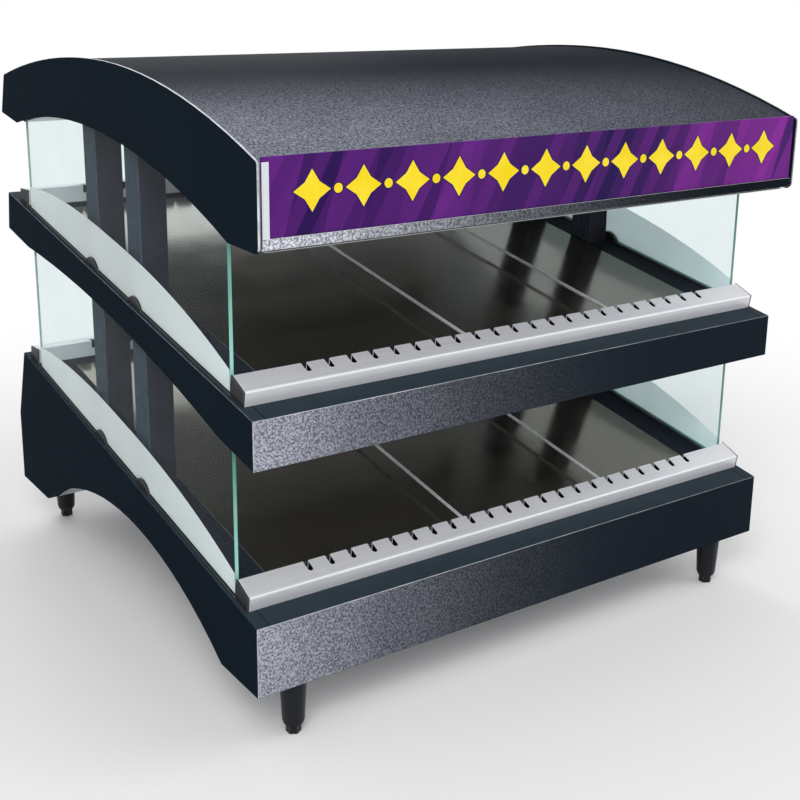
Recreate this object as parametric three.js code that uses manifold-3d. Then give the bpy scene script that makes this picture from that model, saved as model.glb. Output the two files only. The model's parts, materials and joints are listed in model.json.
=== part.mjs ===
// Heated pass-through merchandiser: base, middle shelf and curved canopy on four posts.
// Millimetres. X runs across, Y from the front fascia towards the rear, Z up from the counter.
import * as THREE from 'three';
import { mergeVertices } from 'three/addons/utils/BufferGeometryUtils.js';
import Module from 'manifold-3d';

const wasm = await Module();
wasm.setup();

// Sizes that the whole cabinet shares
const width = 914;
const slope = THREE.MathUtils.degToRad(10);
const sheet = 1.2;
const clearance = 0.3;
const overrun = 5;

// Heights that stack up at the front
const legHeight = 83;
const baseFascia = 96;
const lowerOpening = 207;
const shelfFascia = 64;
const upperOpening = 204;
const baseTop = legHeight + baseFascia;
const shelfBottom = baseTop + lowerOpening;
const shelfTop = shelfBottom + shelfFascia;
const canopyBottom = shelfTop + upperOpening;

// Side panels are an outer skin with a folded flange
const side = { skin: 2, flange: 18, flangeSheet: 2 };
const halfWidth = width / 2;
const insideHalf = halfWidth - side.flange;
const fitHalf = insideHalf - clearance;

const shelf = { length: 871, frontFoot: 85, rearFoot: 96, archRise: 20, archSteps: 12 };
const base = {
  rearLedge: 18.9, topSetback: 46, kneeSetback: 2, kneeHeight: 122,
  frontFoot: 102, rearFoot: 123, archRise: 98, archSteps: 20,
};
const canopy = {
  plate: 3, overhang: 21, noseCut: 7, noseLift: 5, frontHeight: 105, crownRise: 190, crownAt: 445,
  rearTopRise: 143, rearTopAt: 841, rearBottomRise: 80.5, rearBottomAt: 864,
  bellyRise: 96.5, bellyAt: 550, bellyFrontAt: 54, bellyFrontRise: 1, bellyRearAt: 792, bellyRearRise: 70,
  arcSteps: 12, skinRecess: 2.5, linerEndShare: 0.15, cornerReach: 4, cornerSteps: 4,
};
const post = { width: 40, depth: 46, wall: 2, inset: 20, frontAt: 352, rearAt: 503, play: 0.6 };
const glass = { thickness: 5, inset: 8, frontAt: 71, rearAt: 770, engagement: 12, shelfEngagement: 32 };
const rail = { setback: 36, rearLedge: 43, depth: 33, outerHeight: 20.5, innerHeight: 28.5, wall: 1.5 };
const cap = { thickness: 2 };
const notch = { count: 22, pitch: 33.4, width: 8, reach: 17, drop: 14 };
const rod = { radius: 2.5, sides: 10, endPlay: 3, dividerNotches: [8, 16] };
const clip = { length: 48, height: 14, wall: 3, strip: 2, frontAt: 359, rearAt: 515, arcSteps: 6 };
const plate = { sideBorder: 66, frontBorder: 30, rearBorder: 25, thickness: 4, rise: 0.5, underlap: 4 };
const blanket = { thickness: 5, margin: 14 };
const sign = { height: 104, thickness: 3, play: 0.5, sideGap: 0.7 };
const holder = { sheet: 1.5, endGap: 3, lift: 4, lip: 13, backDrop: 1, strip: 9, stripDrop: 4 };
const leg = {
  inset: 66, frontSetback: 29, rearSetback: 21, topRadius: 18.5, bottomRadius: 15, collar: 4, collarStep: 1.5,
  bore: 5.5, sides: 20,
};
const foot = { height: 12, radius: 10.5, neck: 2, stemRadius: 5, stem: 36, root: 1, sides: 6, stemSides: 12 };
const knob = {
  radius: 18, height: 16, taper: 3, skirt: 5, lift: 1, spindle: 3.5, depth: 8, ridge: 3, ridgeWidth: 5,
  sides: 24,
};
const rocker = { radius: 13, width: 18, pivotDepth: 4, tilt: 10, spread: 30, dip: 4, arcSteps: 4, play: 0.5 };
const controls = { spacing: 90, spindleHole: 4.5 };
const gland = {
  bore: 5, tipRadius: 8.5, barrelRadius: 10.5, nutRadius: 14, nut: 9.5, barrel: 14, atX: 260, sides: 16,
};
const element = {
  radius: 6, length: 720, drop: 16, block: 16, blockDepth: 20, blockHeight: 24, offset: -60, sides: 10,
};
const lamp = {
  radius: 9, length: 520, drop: 18, block: 22, blockDepth: 26, blockHeight: 31, offset: 60, sides: 12,
};
const ceilingGap = 0.5;

// Points, lines and outlines in the Y, Z plane
const point = (y, z) => new THREE.Vector2(y, z);

function onSlope(level, along, up) {
  const y = along * Math.cos(slope) - up * Math.sin(slope);
  const z = level + along * Math.sin(slope) + up * Math.cos(slope);
  return point(y, z);
}

function risen(level, y) {
  return point(y, level + y * Math.tan(slope));
}

// Points of a circular arc between two ends, which bulges to the left of its run by the rise
function bulge(start, end, rise, steps) {
  const run = end.clone().sub(start);
  const half = run.length() / 2;
  const radius = (half * half + rise * rise) / (2 * rise);
  const reach = Math.asin(half / radius);
  const ahead = run.normalize();
  const left = point(-ahead.y, ahead.x);
  return Array.from({ length: steps + 1 }, (_, i) => {
    const angle = reach * (2 * i / steps - 1);
    const along = half + radius * Math.sin(angle);
    const out = radius * Math.cos(angle) - (radius - rise);
    return start.clone().addScaledVector(ahead, along).addScaledVector(left, out);
  });
}

function apexRadius(end, apex) {
  const run = apex.x - end.x;
  const climb = apex.y - end.y;
  return (run * run + climb * climb) / (2 * climb);
}

// Points of a circular arc from its end to its apex, where it is level
function arcToApex(end, apex, steps) {
  const radius = apexRadius(end, apex);
  const reach = Math.asin(Math.abs(apex.x - end.x) / radius);
  const towards = Math.sign(end.x - apex.x);
  return Array.from({ length: steps + 1 }, (_, i) => {
    const angle = reach * (1 - i / steps);
    return point(apex.x + towards * radius * Math.sin(angle), apex.y - radius * (1 - Math.cos(angle)));
  });
}

function arcHeight(end, apex, y) {
  const radius = apexRadius(end, apex);
  return apex.y - radius + Math.sqrt(radius * radius - (y - apex.x) ** 2);
}

// Moves a line of points to its left by a distance, corner by corner
function offsetLine(points, distance, closed = false) {
  const count = points.length;
  const leftOf = (a, b) => {
    const ahead = b.clone().sub(a).normalize();
    return point(-ahead.y, ahead.x);
  };
  return points.map((corner, i) => {
    const before = points[closed ? (i + count - 1) % count : i - 1];
    const after = points[closed ? (i + 1) % count : i + 1];
    const first = before ? leftOf(before, corner) : leftOf(corner, after);
    const second = after ? leftOf(corner, after) : first;
    const middle = first.clone().add(second).normalize();
    return corner.clone().addScaledVector(middle, distance / middle.dot(first));
  });
}

function bentSheet(line, nearSide, farSide) {
  return [...offsetLine(line, nearSide), ...offsetLine(line, farSide).reverse()];
}

// Solids
const unitX = new THREE.Vector3(1, 0, 0);
const unitY = new THREE.Vector3(0, 1, 0);
const unitZ = new THREE.Vector3(0, 0, 1);

function runAcross(outline, fromX, toX) {
  const options = { depth: toX - fromX, bevelEnabled: false, steps: 1 };
  const geometry = new THREE.ExtrudeGeometry(new THREE.Shape(outline), options);
  geometry.applyMatrix4(new THREE.Matrix4().makeBasis(unitY, unitZ, unitX));
  return geometry.translate(fromX, 0, 0);
}

function block(low, high) {
  const size = high.clone().sub(low);
  const middle = high.clone().add(low).divideScalar(2);
  return new THREE.BoxGeometry(size.x, size.y, size.z).translate(middle.x, middle.y, middle.z);
}

const at = (x, y, z) => new THREE.Vector3(x, y, z);

function turned(profile, sides) {
  const geometry = new THREE.LatheGeometry(profile, sides);
  return geometry.rotateX(Math.PI / 2);
}

function barAcross(radius, length, sides) {
  return new THREE.CylinderGeometry(radius, radius, length, sides).rotateZ(Math.PI / 2);
}

function toSolid(geometry) {
  const bare = geometry.clone();
  bare.deleteAttribute('normal');
  bare.deleteAttribute('uv');
  const merged = mergeVertices(bare);
  const vertProperties = new Float32Array(merged.attributes.position.array);
  const triVerts = new Uint32Array(merged.index.array);
  return new wasm.Manifold(new wasm.Mesh({ numProp: 3, vertProperties, triVerts }));
}

function toGeometry(solid) {
  const mesh = solid.getMesh();
  const geometry = new THREE.BufferGeometry();
  geometry.setAttribute('position', new THREE.BufferAttribute(mesh.vertProperties, 3));
  geometry.setIndex(new THREE.BufferAttribute(mesh.triVerts, 1));
  return geometry;
}

function joined(...geometries) {
  return toGeometry(geometries.map(toSolid).reduce((whole, more) => whole.add(more)));
}

function cutBy(geometry, ...cutters) {
  return toGeometry(cutters.map(toSolid).reduce((rest, tool) => rest.subtract(tool), toSolid(geometry)));
}

// Finishes and placing
const finishes = {
  smoothBlack: { color: '#161f27', roughness: 0.45, metalness: 0.3 },
  hammertone: { color: '#4a4c55', roughness: 0.5, metalness: 0.4 },
  postGrey: { color: '#3c3d46', roughness: 0.55, metalness: 0.3 },
  bareSteel: { color: '#9a9ca0', roughness: 0.35, metalness: 0.8 },
  brightRail: { color: '#bdbec4', roughness: 0.35, metalness: 0.8 },
  wire: { color: '#d8d8dc', roughness: 0.2, metalness: 0.95 },
  heatedPlate: { color: '#77746a', roughness: 0.3, metalness: 0.6 },
  silicone: { color: '#b8562a', roughness: 0.8, metalness: 0 },
  clearGlass: { color: '#d8ecec', roughness: 0.05, metalness: 0, transparent: true, opacity: 0.35 },
  lampGlass: { color: '#f4f1e4', roughness: 0.2, metalness: 0 },
  trimBlack: { color: '#2a2a2e', roughness: 0.6, metalness: 0 },
  signPurple: { color: '#5a1f78', roughness: 0.4, metalness: 0 },
};

const cabinet = new THREE.Group();

function addPiece(name, geometry, finish, parent = cabinet) {
  const mesh = new THREE.Mesh(geometry, new THREE.MeshStandardMaterial(finish));
  mesh.name = name;
  parent.add(mesh);
  return mesh;
}

const hands = [['left', -1], ['right', 1]];

// The two X limits of a strip that lies between two distances from the middle, on one hand
function strip(hand, near, far) {
  return hand < 0 ? [-far, -near] : [near, far];
}

// The slanted frame of a shelf: its Y runs up the slope and its Z stands square to it
function slantedGroup(level) {
  const group = new THREE.Group();
  group.position.z = level;
  group.rotation.x = slope;
  group.updateMatrix();
  cabinet.add(group);
  return group;
}

// Posts, and the vertical holes that they pass through
const postOuter = halfWidth - post.inset;
const postInner = postOuter - post.width;
const postPlaces = [['front', post.frontAt], ['rear', post.rearAt]];

function postHoles(low, high) {
  return hands.flatMap(([, hand]) => postPlaces.map(([, y]) => {
    const [fromX, toX] = strip(hand, postInner - post.play, postOuter + post.play);
    return block(at(fromX, y - post.play, low), at(toX, y + post.depth + post.play, high));
  }));
}

// Base: its rear top corner lies a ledge behind the rear rail, which both shelves have at one place
const rearRailOuter = shelf.length - rail.rearLedge;
const baseRearTop = onSlope(baseTop, rearRailOuter + base.rearLedge, 0);
const baseDepth = baseRearTop.x + base.topSetback;
const baseKnee = point(baseDepth - base.kneeSetback, legHeight + base.kneeHeight);
const baseSill = point(baseDepth, legHeight);
const behindFascia = sheet + clearance;

const baseArchFront = point(base.frontFoot, legHeight);
const baseArchRear = point(baseDepth - base.rearFoot, legHeight);
const baseArchApex = point((baseArchFront.x + baseArchRear.x) / 2, legHeight + base.archRise);

function underBase(fromY, toY) {
  const arch = bulge(baseArchFront, baseArchRear, base.archRise, base.archSteps);
  return [point(fromY, legHeight), ...arch, point(toY, legHeight)];
}

function baseSide(hand) {
  const frontTop = risen(baseTop, behindFascia);
  const outline = [...underBase(behindFascia, baseDepth), baseKnee, baseRearTop, frontTop];
  const inner = offsetLine(outline, side.flangeSheet, true);
  const whole = runAcross(outline, ...strip(hand, insideHalf, halfWidth));
  const pocket = runAcross(inner, ...strip(hand, insideHalf - overrun, halfWidth - side.skin));
  return cutBy(whole, pocket);
}

// A full-width front with a ledge that runs up the slope, narrower than the front
const ledgeEnd = rail.setback + rail.depth / 2;

function frontFascia(bottom, top) {
  const line = [point(0, bottom), point(0, top), onSlope(top, ledgeEnd, 0)];
  const ledge = runAcross(bentSheet(line, -sheet, 0), -fitHalf, fitHalf);
  const face = [point(0, bottom), point(sheet, bottom), risen(top, sheet), point(0, top)];
  return joined(ledge, runAcross(face, -halfWidth, halfWidth));
}

const rearLedgeStart = rearRailOuter - rail.depth / 2;

function controlFrame() {
  const group = new THREE.Group();
  const up = baseRearTop.clone().sub(baseKnee).normalize();
  const right = at(-1, 0, 0);
  const upSlope = at(0, up.x, up.y);
  const out = right.clone().cross(upSlope);
  const middle = baseRearTop.clone().add(baseKnee).divideScalar(2);
  group.position.set(0, middle.x, middle.y);
  group.quaternion.setFromRotationMatrix(new THREE.Matrix4().makeBasis(right, upSlope, out));
  group.updateMatrix();
  cabinet.add(group);
  return group;
}

const controlGroup = controlFrame();
const controlRow = ['lamp_switch', 'base_heat_knob', 'shelf_heat_knob', 'overhead_heat_switch']
  .map((name, i, row) => [name, (i - (row.length - 1) / 2) * controls.spacing]);
const switchPlaces = controlRow.filter(([name]) => name.endsWith('switch'));
const knobPlaces = controlRow.filter(([name]) => name.endsWith('knob'));

function baseRearPanel() {
  const line = [onSlope(baseTop, rearLedgeStart, 0), baseRearTop, baseKnee, baseSill];
  const panel = runAcross(bentSheet(line, -sheet, 0), -fitHalf, fitHalf);
  const reach = rocker.radius + rocker.play;
  const halfLong = rocker.width / 2 + rocker.play;
  const windows = switchPlaces.map(([, x]) => {
    return block(at(x - halfLong, -reach, -overrun), at(x + halfLong, reach, overrun));
  });
  const holes = knobPlaces.map(([, x]) => {
    const radius = controls.spindleHole;
    const hole = new THREE.CylinderGeometry(radius, radius, 2 * overrun, knob.sides);
    return hole.rotateX(Math.PI / 2).translate(x, 0, 0);
  });
  return cutBy(panel, ...[...windows, ...holes].map((tool) => tool.applyMatrix4(controlGroup.matrix)));
}

function basePan() {
  const line = underBase(behindFascia, baseDepth - sheet - clearance);
  return runAcross(bentSheet(line, 0, sheet), -fitHalf, fitHalf);
}

// Deck, heated plate and heater blanket, in the slanted frame of their shelf
const deckStart = ledgeEnd + clearance;
const deckEnd = rearLedgeStart - clearance;
const plateHalf = halfWidth - plate.sideBorder;
const plateStart = rail.setback + rail.depth + plate.frontBorder;
const plateEnd = rearRailOuter - rail.depth - plate.rearBorder;

function deck(group) {
  const whole = block(at(-fitHalf, deckStart, -sheet), at(fitHalf, deckEnd, 0));
  const opening = block(at(-plateHalf, plateStart, -overrun), at(plateHalf, plateEnd, overrun));
  const reach = post.depth + overrun;
  const holes = postHoles(group.position.z - reach, group.position.z + shelf.length);
  const back = group.matrix.clone().invert();
  return cutBy(whole, opening, ...holes.map((tool) => tool.applyMatrix4(back)));
}

// The plate's pad stands up through the deck's opening, and the lip round it lies under the deck
const plateBottom = plate.rise - plate.thickness;

function plateLayer(reach, top) {
  const half = plateHalf + reach;
  return block(at(-half, plateStart - reach, plateBottom), at(half, plateEnd + reach, top));
}

function heatedPlate() {
  return joined(plateLayer(plate.underlap, -sheet - clearance), plateLayer(-clearance, plate.rise));
}

function heaterBlanket() {
  const top = plateBottom - clearance;
  const half = plateHalf - blanket.margin;
  const low = at(-half, plateStart + blanket.margin, top - blanket.thickness);
  return block(low, at(half, plateEnd - blanket.margin, top));
}

// Notched rails, in the slanted frame; the rear one faces the other way
const capOuter = halfWidth - glass.inset + clearance + cap.thickness;
const railHalf = capOuter - cap.thickness - clearance;

function railPlace(isRear, along) {
  return isRear ? rearRailOuter - along : rail.setback + along;
}

function railLine(isRear) {
  return [point(railPlace(isRear, 0), clearance), point(railPlace(isRear, 0), rail.outerHeight),
    point(railPlace(isRear, rail.depth), rail.innerHeight), point(railPlace(isRear, rail.depth), clearance)];
}

function notchX(index) {
  return (index - (notch.count - 1) / 2) * notch.pitch;
}

const slotBottom = rail.innerHeight - notch.drop;

function notchedRail(isRear) {
  const inward = isRear ? rail.wall : -rail.wall;
  const bar = runAcross(bentSheet(railLine(isRear), 0, inward), -railHalf, railHalf);
  const ends = [railPlace(isRear, rail.depth - notch.reach), railPlace(isRear, rail.depth + overrun)];
  const slots = Array.from({ length: notch.count }, (_, i) => {
    const x = notchX(i);
    const low = at(x - notch.width / 2, Math.min(...ends), slotBottom);
    return block(low, at(x + notch.width / 2, Math.max(...ends), rail.innerHeight + overrun));
  });
  return cutBy(bar, ...slots);
}

// A divider rod lies on the slot bottoms of both rails
function dividerRod(x) {
  const inset = rail.depth - notch.reach + rod.endPlay;
  const start = railPlace(false, inset);
  const length = railPlace(true, inset) - start;
  const bar = new THREE.CylinderGeometry(rod.radius, rod.radius, length, rod.sides);
  return bar.translate(x, start + length / 2, slotBottom + rod.radius + clearance);
}

// Retainer: a strip under the glass with two half-round clips, and the end caps of both rails
const glassOuter = halfWidth - glass.inset;
const glassInner = glassOuter - glass.thickness;

function clipEar(middle, hand, near, far) {
  const ends = [point(middle - clip.length / 2, clearance), point(middle + clip.length / 2, clearance)];
  return runAcross(bulge(...ends, clip.height, clip.arcSteps), ...strip(hand, near, far));
}

function glassRetainer(hand) {
  const near = glassInner - clearance - clip.wall;
  const far = glassOuter + clearance + clip.wall;
  const starts = railPlace(false, rail.depth) + clearance;
  const ends = railPlace(true, rail.depth) - clearance;
  const [fromX, toX] = strip(hand, near, far);
  const bar = block(at(fromX, starts, clearance), at(toX, ends, clearance + clip.strip));
  const ears = [clip.frontAt, clip.rearAt].flatMap((middle) => [
    clipEar(middle, hand, near, near + clip.wall), clipEar(middle, hand, far - clip.wall, far)]);
  const caps = [false, true].map((isRear) => {
    const inwards = isRear ? -1 : 1;
    const outline = railLine(isRear);
    outline[2].x += inwards * (clearance + cap.thickness);
    outline[3].x += inwards * (clearance + cap.thickness);
    return runAcross(outline, ...strip(hand, capOuter - cap.thickness, capOuter));
  });
  return joined(bar, ...ears, ...caps);
}

// Side glass: upright edges, a bottom edge up the slope and a hidden top edge
const glassFoot = 2 * clearance + clip.strip;

function glassPanel(hand, level, frontTop, rearTop) {
  const lift = glassFoot / Math.cos(slope);
  const outline = [risen(level + lift, glass.frontAt), risen(level + lift, glass.rearAt), rearTop, frontTop];
  return runAcross(outline, ...strip(hand, glassInner, glassOuter));
}

function lowerGlass(hand) {
  const topLevel = shelfTop - glass.shelfEngagement;
  return glassPanel(hand, baseTop, risen(topLevel, glass.frontAt), risen(topLevel, glass.rearAt));
}

function upperGlass(hand) {
  const top = canopyBottom + canopy.bellyRise + glass.engagement;
  return glassPanel(hand, shelfTop, point(glass.frontAt, top), point(glass.rearAt, top));
}

// Middle shelf
const shelfDrop = shelfFascia * Math.cos(slope);

function underShelf(fromY, rearGap) {
  const onUnderside = (along) => onSlope(shelfTop, along, -shelfDrop);
  const start = (fromY - shelfDrop * Math.sin(slope)) / Math.cos(slope);
  const archEnds = [onUnderside(shelf.frontFoot), onUnderside(shelf.length - shelf.rearFoot)];
  const arch = bulge(...archEnds, shelf.archRise, shelf.archSteps);
  return [onUnderside(start), ...arch, onUnderside(shelf.length - rearGap)];
}

function shelfSide(hand) {
  const rearTop = onSlope(shelfTop, shelf.length, 0);
  const frontTop = risen(shelfTop, behindFascia);
  const outline = [...underShelf(behindFascia, 0), rearTop, frontTop];
  const skin = runAcross(outline, ...strip(hand, halfWidth - side.skin, halfWidth));
  const rearBottom = onSlope(shelfTop, shelf.length, -shelfDrop);
  const flange = bentSheet([frontTop, rearTop, rearBottom], -side.flangeSheet, 0);
  return joined(skin, runAcross(flange, ...strip(hand, insideHalf, halfWidth)));
}

function shelfRearFascia() {
  const line = [point(rearLedgeStart, 0), point(shelf.length, 0), point(shelf.length, -shelfDrop)];
  return runAcross(bentSheet(line, -sheet, 0), -fitHalf, fitHalf);
}

function shelfPan() {
  const line = underShelf(behindFascia + sheet * Math.sin(slope), sheet + clearance);
  const pan = runAcross(bentSheet(line, 0, sheet), -fitHalf, fitHalf);
  return cutBy(pan, ...postHoles(baseTop, canopyBottom));
}

// Canopy
const noseTop = point(-canopy.overhang, canopyBottom + canopy.frontHeight);
const crown = point(canopy.crownAt, canopyBottom + canopy.crownRise);
const tailTop = point(canopy.rearTopAt, canopyBottom + canopy.rearTopRise);
const tailBottom = point(canopy.rearBottomAt, canopyBottom + canopy.rearBottomRise);
const bellyFront = point(canopy.bellyFrontAt, canopyBottom + canopy.bellyFrontRise);
const belly = point(canopy.bellyAt, canopyBottom + canopy.bellyRise);
const bellyRear = point(canopy.bellyRearAt, canopyBottom + canopy.bellyRearRise);

function overArcs(front, apex, rear) {
  const falling = arcToApex(rear, apex, canopy.arcSteps).reverse();
  return [...arcToApex(front, apex, canopy.arcSteps), ...falling.slice(1)];
}

// The named corners of an outline are rounded, each through a few points of a short curve
function withRoundCorners(outline, corners) {
  return outline.flatMap((place, i) => {
    if (!corners.some((corner) => corner.distanceTo(place) < clearance)) return [place];
    const towards = (one) => place.clone().lerp(one, canopy.cornerReach / place.distanceTo(one));
    const [start, end] = [towards(outline.at(i - 1)), towards(outline[(i + 1) % outline.length])];
    return new THREE.QuadraticBezierCurve(start, place, end).getPoints(canopy.cornerSteps);
  });
}

function canopySide(hand) {
  const nose = [point(-canopy.overhang, canopyBottom + canopy.noseLift),
    point(canopy.noseCut - canopy.overhang, canopyBottom)];
  const outline = [...nose, ...overArcs(bellyFront, belly, bellyRear), tailBottom,
    ...overArcs(noseTop, crown, tailTop).reverse()];
  const rounded = withRoundCorners(outline, [nose[0], noseTop, tailTop, tailBottom]);
  return runAcross(rounded, ...strip(hand, halfWidth - canopy.plate, halfWidth));
}

const canopyHalf = halfWidth - canopy.plate - clearance;
const holderFace = -canopy.overhang;
const holderBottom = canopyBottom + holder.lift;
const holderBack = holderFace + 2 * holder.sheet + sign.thickness + 2 * sign.play;
const skinStart = holderBack + clearance;

function canopySkin() {
  const arcs = overArcs(noseTop, crown, tailTop).reverse();
  const line = [tailBottom, ...arcs];
  const whole = bentSheet(line, canopy.skinRecess, canopy.skinRecess + sheet);
  const skin = runAcross(whole, -canopyHalf, canopyHalf);
  const low = at(-halfWidth, -canopy.overhang - overrun, canopyBottom);
  return cutBy(skin, block(low, at(halfWidth, skinStart, crown.y)));
}

function canopyLiner() {
  const start = point(skinStart, canopyBottom);
  const end = tailBottom.clone().lerp(bellyRear, canopy.linerEndShare);
  const line = [start, ...overArcs(bellyFront, belly, bellyRear), end];
  const half = glassInner - post.play;
  const liner = runAcross(bentSheet(line, 0, sheet), -half, half);
  return cutBy(liner, ...postHoles(shelfTop, crown.y));
}

function signHolder() {
  const lipTop = holderBottom + holder.lip;
  const backTop = noseTop.y - holder.backDrop;
  const half = canopyHalf - holder.endGap;
  const line = [point(holderFace, lipTop), point(holderFace, holderBottom), point(holderBack, holderBottom),
    point(holderBack, backTop)];
  const channel = runAcross(bentSheet(line, 0, holder.sheet), -half, half);
  const stripTop = holderBottom + sign.height - holder.stripDrop;
  const endStrip = block(at(-half, holderFace, lipTop - overrun),
    at(holder.strip - half, holderFace + holder.sheet, stripTop));
  return joined(channel, endStrip);
}

function signInsert() {
  const front = holderFace + holder.sheet + sign.play;
  const bottom = holderBottom + holder.sheet + clearance;
  const half = canopyHalf - holder.endGap - sign.sideGap;
  return block(at(-half, front, bottom), at(half, front + sign.thickness, bottom + sign.height));
}

// A post is a square tube that stands on the base pan and ends under the canopy skin
function hollowPost(hand, y) {
  const ahead = y < baseArchApex.x;
  const bottom = arcHeight(baseArchFront, baseArchApex, ahead ? y + post.depth : y) + sheet + clearance;
  const underSkin = arcHeight(ahead ? noseTop : tailTop, crown, ahead ? y : y + post.depth);
  const top = underSkin - canopy.skinRecess - sheet - post.play;
  const [fromX, toX] = strip(hand, postInner, postOuter);
  const tube = block(at(fromX, y, bottom), at(toX, y + post.depth, top));
  const bore = block(at(fromX + post.wall, y + post.wall, bottom - overrun),
    at(toX - post.wall, y + post.depth - post.wall, top + overrun));
  return cutBy(tube, bore);
}

// Overhead tubes hang from end blocks, with the ceiling at Z = 0 of their own frame
function overheadTube(kind) {
  const tube = barAcross(kind.radius, kind.length, kind.sides).translate(0, 0, -kind.drop);
  const ends = hands.map(([, hand]) => {
    const x = hand * kind.length / 2;
    const low = at(x - kind.block / 2, -kind.blockDepth / 2, -kind.blockHeight);
    return block(low, at(x + kind.block / 2, kind.blockDepth / 2, -ceilingGap));
  });
  return joined(tube, ...ends);
}

function placeUnderShelf(mesh, kind) {
  const chordStart = shelf.frontFoot;
  const chordEnd = shelf.length - shelf.rearFoot;
  const middle = (chordStart + chordEnd) / 2;
  const apex = point(middle, shelf.archRise - shelfDrop);
  const along = middle + kind.offset;
  const farEdge = Math.abs(kind.offset) + kind.blockDepth / 2;
  mesh.position.set(0, along, arcHeight(point(chordStart, -shelfDrop), apex, middle - farEdge));
}

function placeUnderCanopy(mesh, kind) {
  const y = belly.x + kind.offset;
  const farEdge = y + Math.sign(kind.offset) * kind.blockDepth / 2;
  const end = kind.offset < 0 ? bellyFront : bellyRear;
  mesh.position.set(0, y, arcHeight(end, belly, farEdge));
}

// Legs and feet
function legBody() {
  const height = legHeight - clearance - foot.height - foot.neck;
  const waist = leg.bottomRadius - leg.collarStep;
  return turned([point(leg.bore, 0), point(waist, 0), point(waist, leg.collar),
    point(leg.bottomRadius, leg.collar), point(leg.topRadius, height), point(leg.bore, height),
    point(leg.bore, 0)], leg.sides);
}

function legFoot() {
  const hexagon = new THREE.CylinderGeometry(foot.radius, foot.radius, foot.height, foot.sides);
  const stem = new THREE.CylinderGeometry(foot.stemRadius, foot.stemRadius, foot.stem, foot.stemSides);
  hexagon.rotateX(Math.PI / 2).translate(0, 0, foot.height / 2);
  stem.rotateX(Math.PI / 2).translate(0, 0, foot.height - foot.root + foot.stem / 2);
  return joined(hexagon, stem);
}

// Controls, with Z = 0 on the panel's outer face
function knobBody() {
  const faceRadius = knob.radius - knob.taper;
  const profile = [point(0, -knob.depth), point(knob.spindle, -knob.depth), point(knob.spindle, knob.lift),
    point(knob.radius, knob.lift), point(knob.radius, knob.skirt), point(faceRadius, knob.height),
    point(0, knob.height)];
  const halfRidge = knob.ridgeWidth / 2;
  const ridgeEnd = at(halfRidge, faceRadius - knob.ridge, knob.height + knob.ridge);
  const ridge = block(at(-halfRidge, -faceRadius, knob.skirt), ridgeEnd);
  return joined(turned(profile, knob.sides), ridge);
}

function rockerBody() {
  const spread = THREE.MathUtils.degToRad(rocker.spread);
  const end = (middle) => Array.from({ length: rocker.arcSteps + 1 }, (_, i) => {
    const angle = middle + spread * (2 * i / rocker.arcSteps - 1);
    return point(rocker.radius * Math.cos(angle), rocker.radius * Math.sin(angle));
  });
  const outline = [...end(0), point(0, rocker.dip), ...end(Math.PI)];
  const body = runAcross(outline, -rocker.width / 2, rocker.width / 2);
  return body.rotateX(-THREE.MathUtils.degToRad(rocker.tilt));
}

function cordGland() {
  const height = gland.nut + gland.barrel;
  return turned([point(gland.bore, 0), point(gland.tipRadius, 0), point(gland.barrelRadius, gland.barrel),
    point(gland.nutRadius, gland.barrel), point(gland.nutRadius, height), point(gland.bore, height),
    point(gland.bore, 0)], gland.sides);
}

// Assembly: base
const lowerGroup = slantedGroup(baseTop);
const upperGroup = slantedGroup(shelfTop);
addPiece('base_front_fascia', frontFascia(legHeight, baseTop), finishes.hammertone);
addPiece('base_rear_panel', baseRearPanel(), finishes.smoothBlack);
addPiece('base_bottom_pan', basePan(), finishes.bareSteel);
addPiece('base_deck', deck(lowerGroup), finishes.postGrey, lowerGroup);
addPiece('base_heated_plate', heatedPlate(), finishes.heatedPlate, lowerGroup);
addPiece('base_heater_blanket', heaterBlanket(), finishes.silicone, lowerGroup);

// Assembly: middle shelf
addPiece('shelf_front_fascia', frontFascia(shelfBottom, shelfTop), finishes.hammertone);
addPiece('shelf_rear_fascia', shelfRearFascia(), finishes.smoothBlack, upperGroup);
addPiece('shelf_underside_pan', shelfPan(), finishes.bareSteel);
addPiece('shelf_deck', deck(upperGroup), finishes.postGrey, upperGroup);
addPiece('shelf_heated_plate', heatedPlate(), finishes.heatedPlate, upperGroup);
addPiece('shelf_heater_blanket', heaterBlanket(), finishes.silicone, upperGroup);
const elementFinish = finishes.bareSteel;
const shelfElement = addPiece('shelf_infrared_element', overheadTube(element), elementFinish, upperGroup);
const shelfLamp = addPiece('shelf_lamp', overheadTube(lamp), finishes.lampGlass, upperGroup);
placeUnderShelf(shelfElement, element);
placeUnderShelf(shelfLamp, lamp);

// Assembly: canopy
addPiece('canopy_skin', canopySkin(), finishes.hammertone);
addPiece('canopy_liner', canopyLiner(), finishes.bareSteel);
addPiece('sign_holder', signHolder(), finishes.brightRail);
addPiece('sign_insert', signInsert(), finishes.signPurple);
const canopyElement = addPiece('canopy_infrared_element', overheadTube(element), elementFinish);
const canopyLamp = addPiece('canopy_lamp', overheadTube(lamp), finishes.lampGlass);
placeUnderCanopy(canopyElement, element);
placeUnderCanopy(canopyLamp, lamp);

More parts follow.
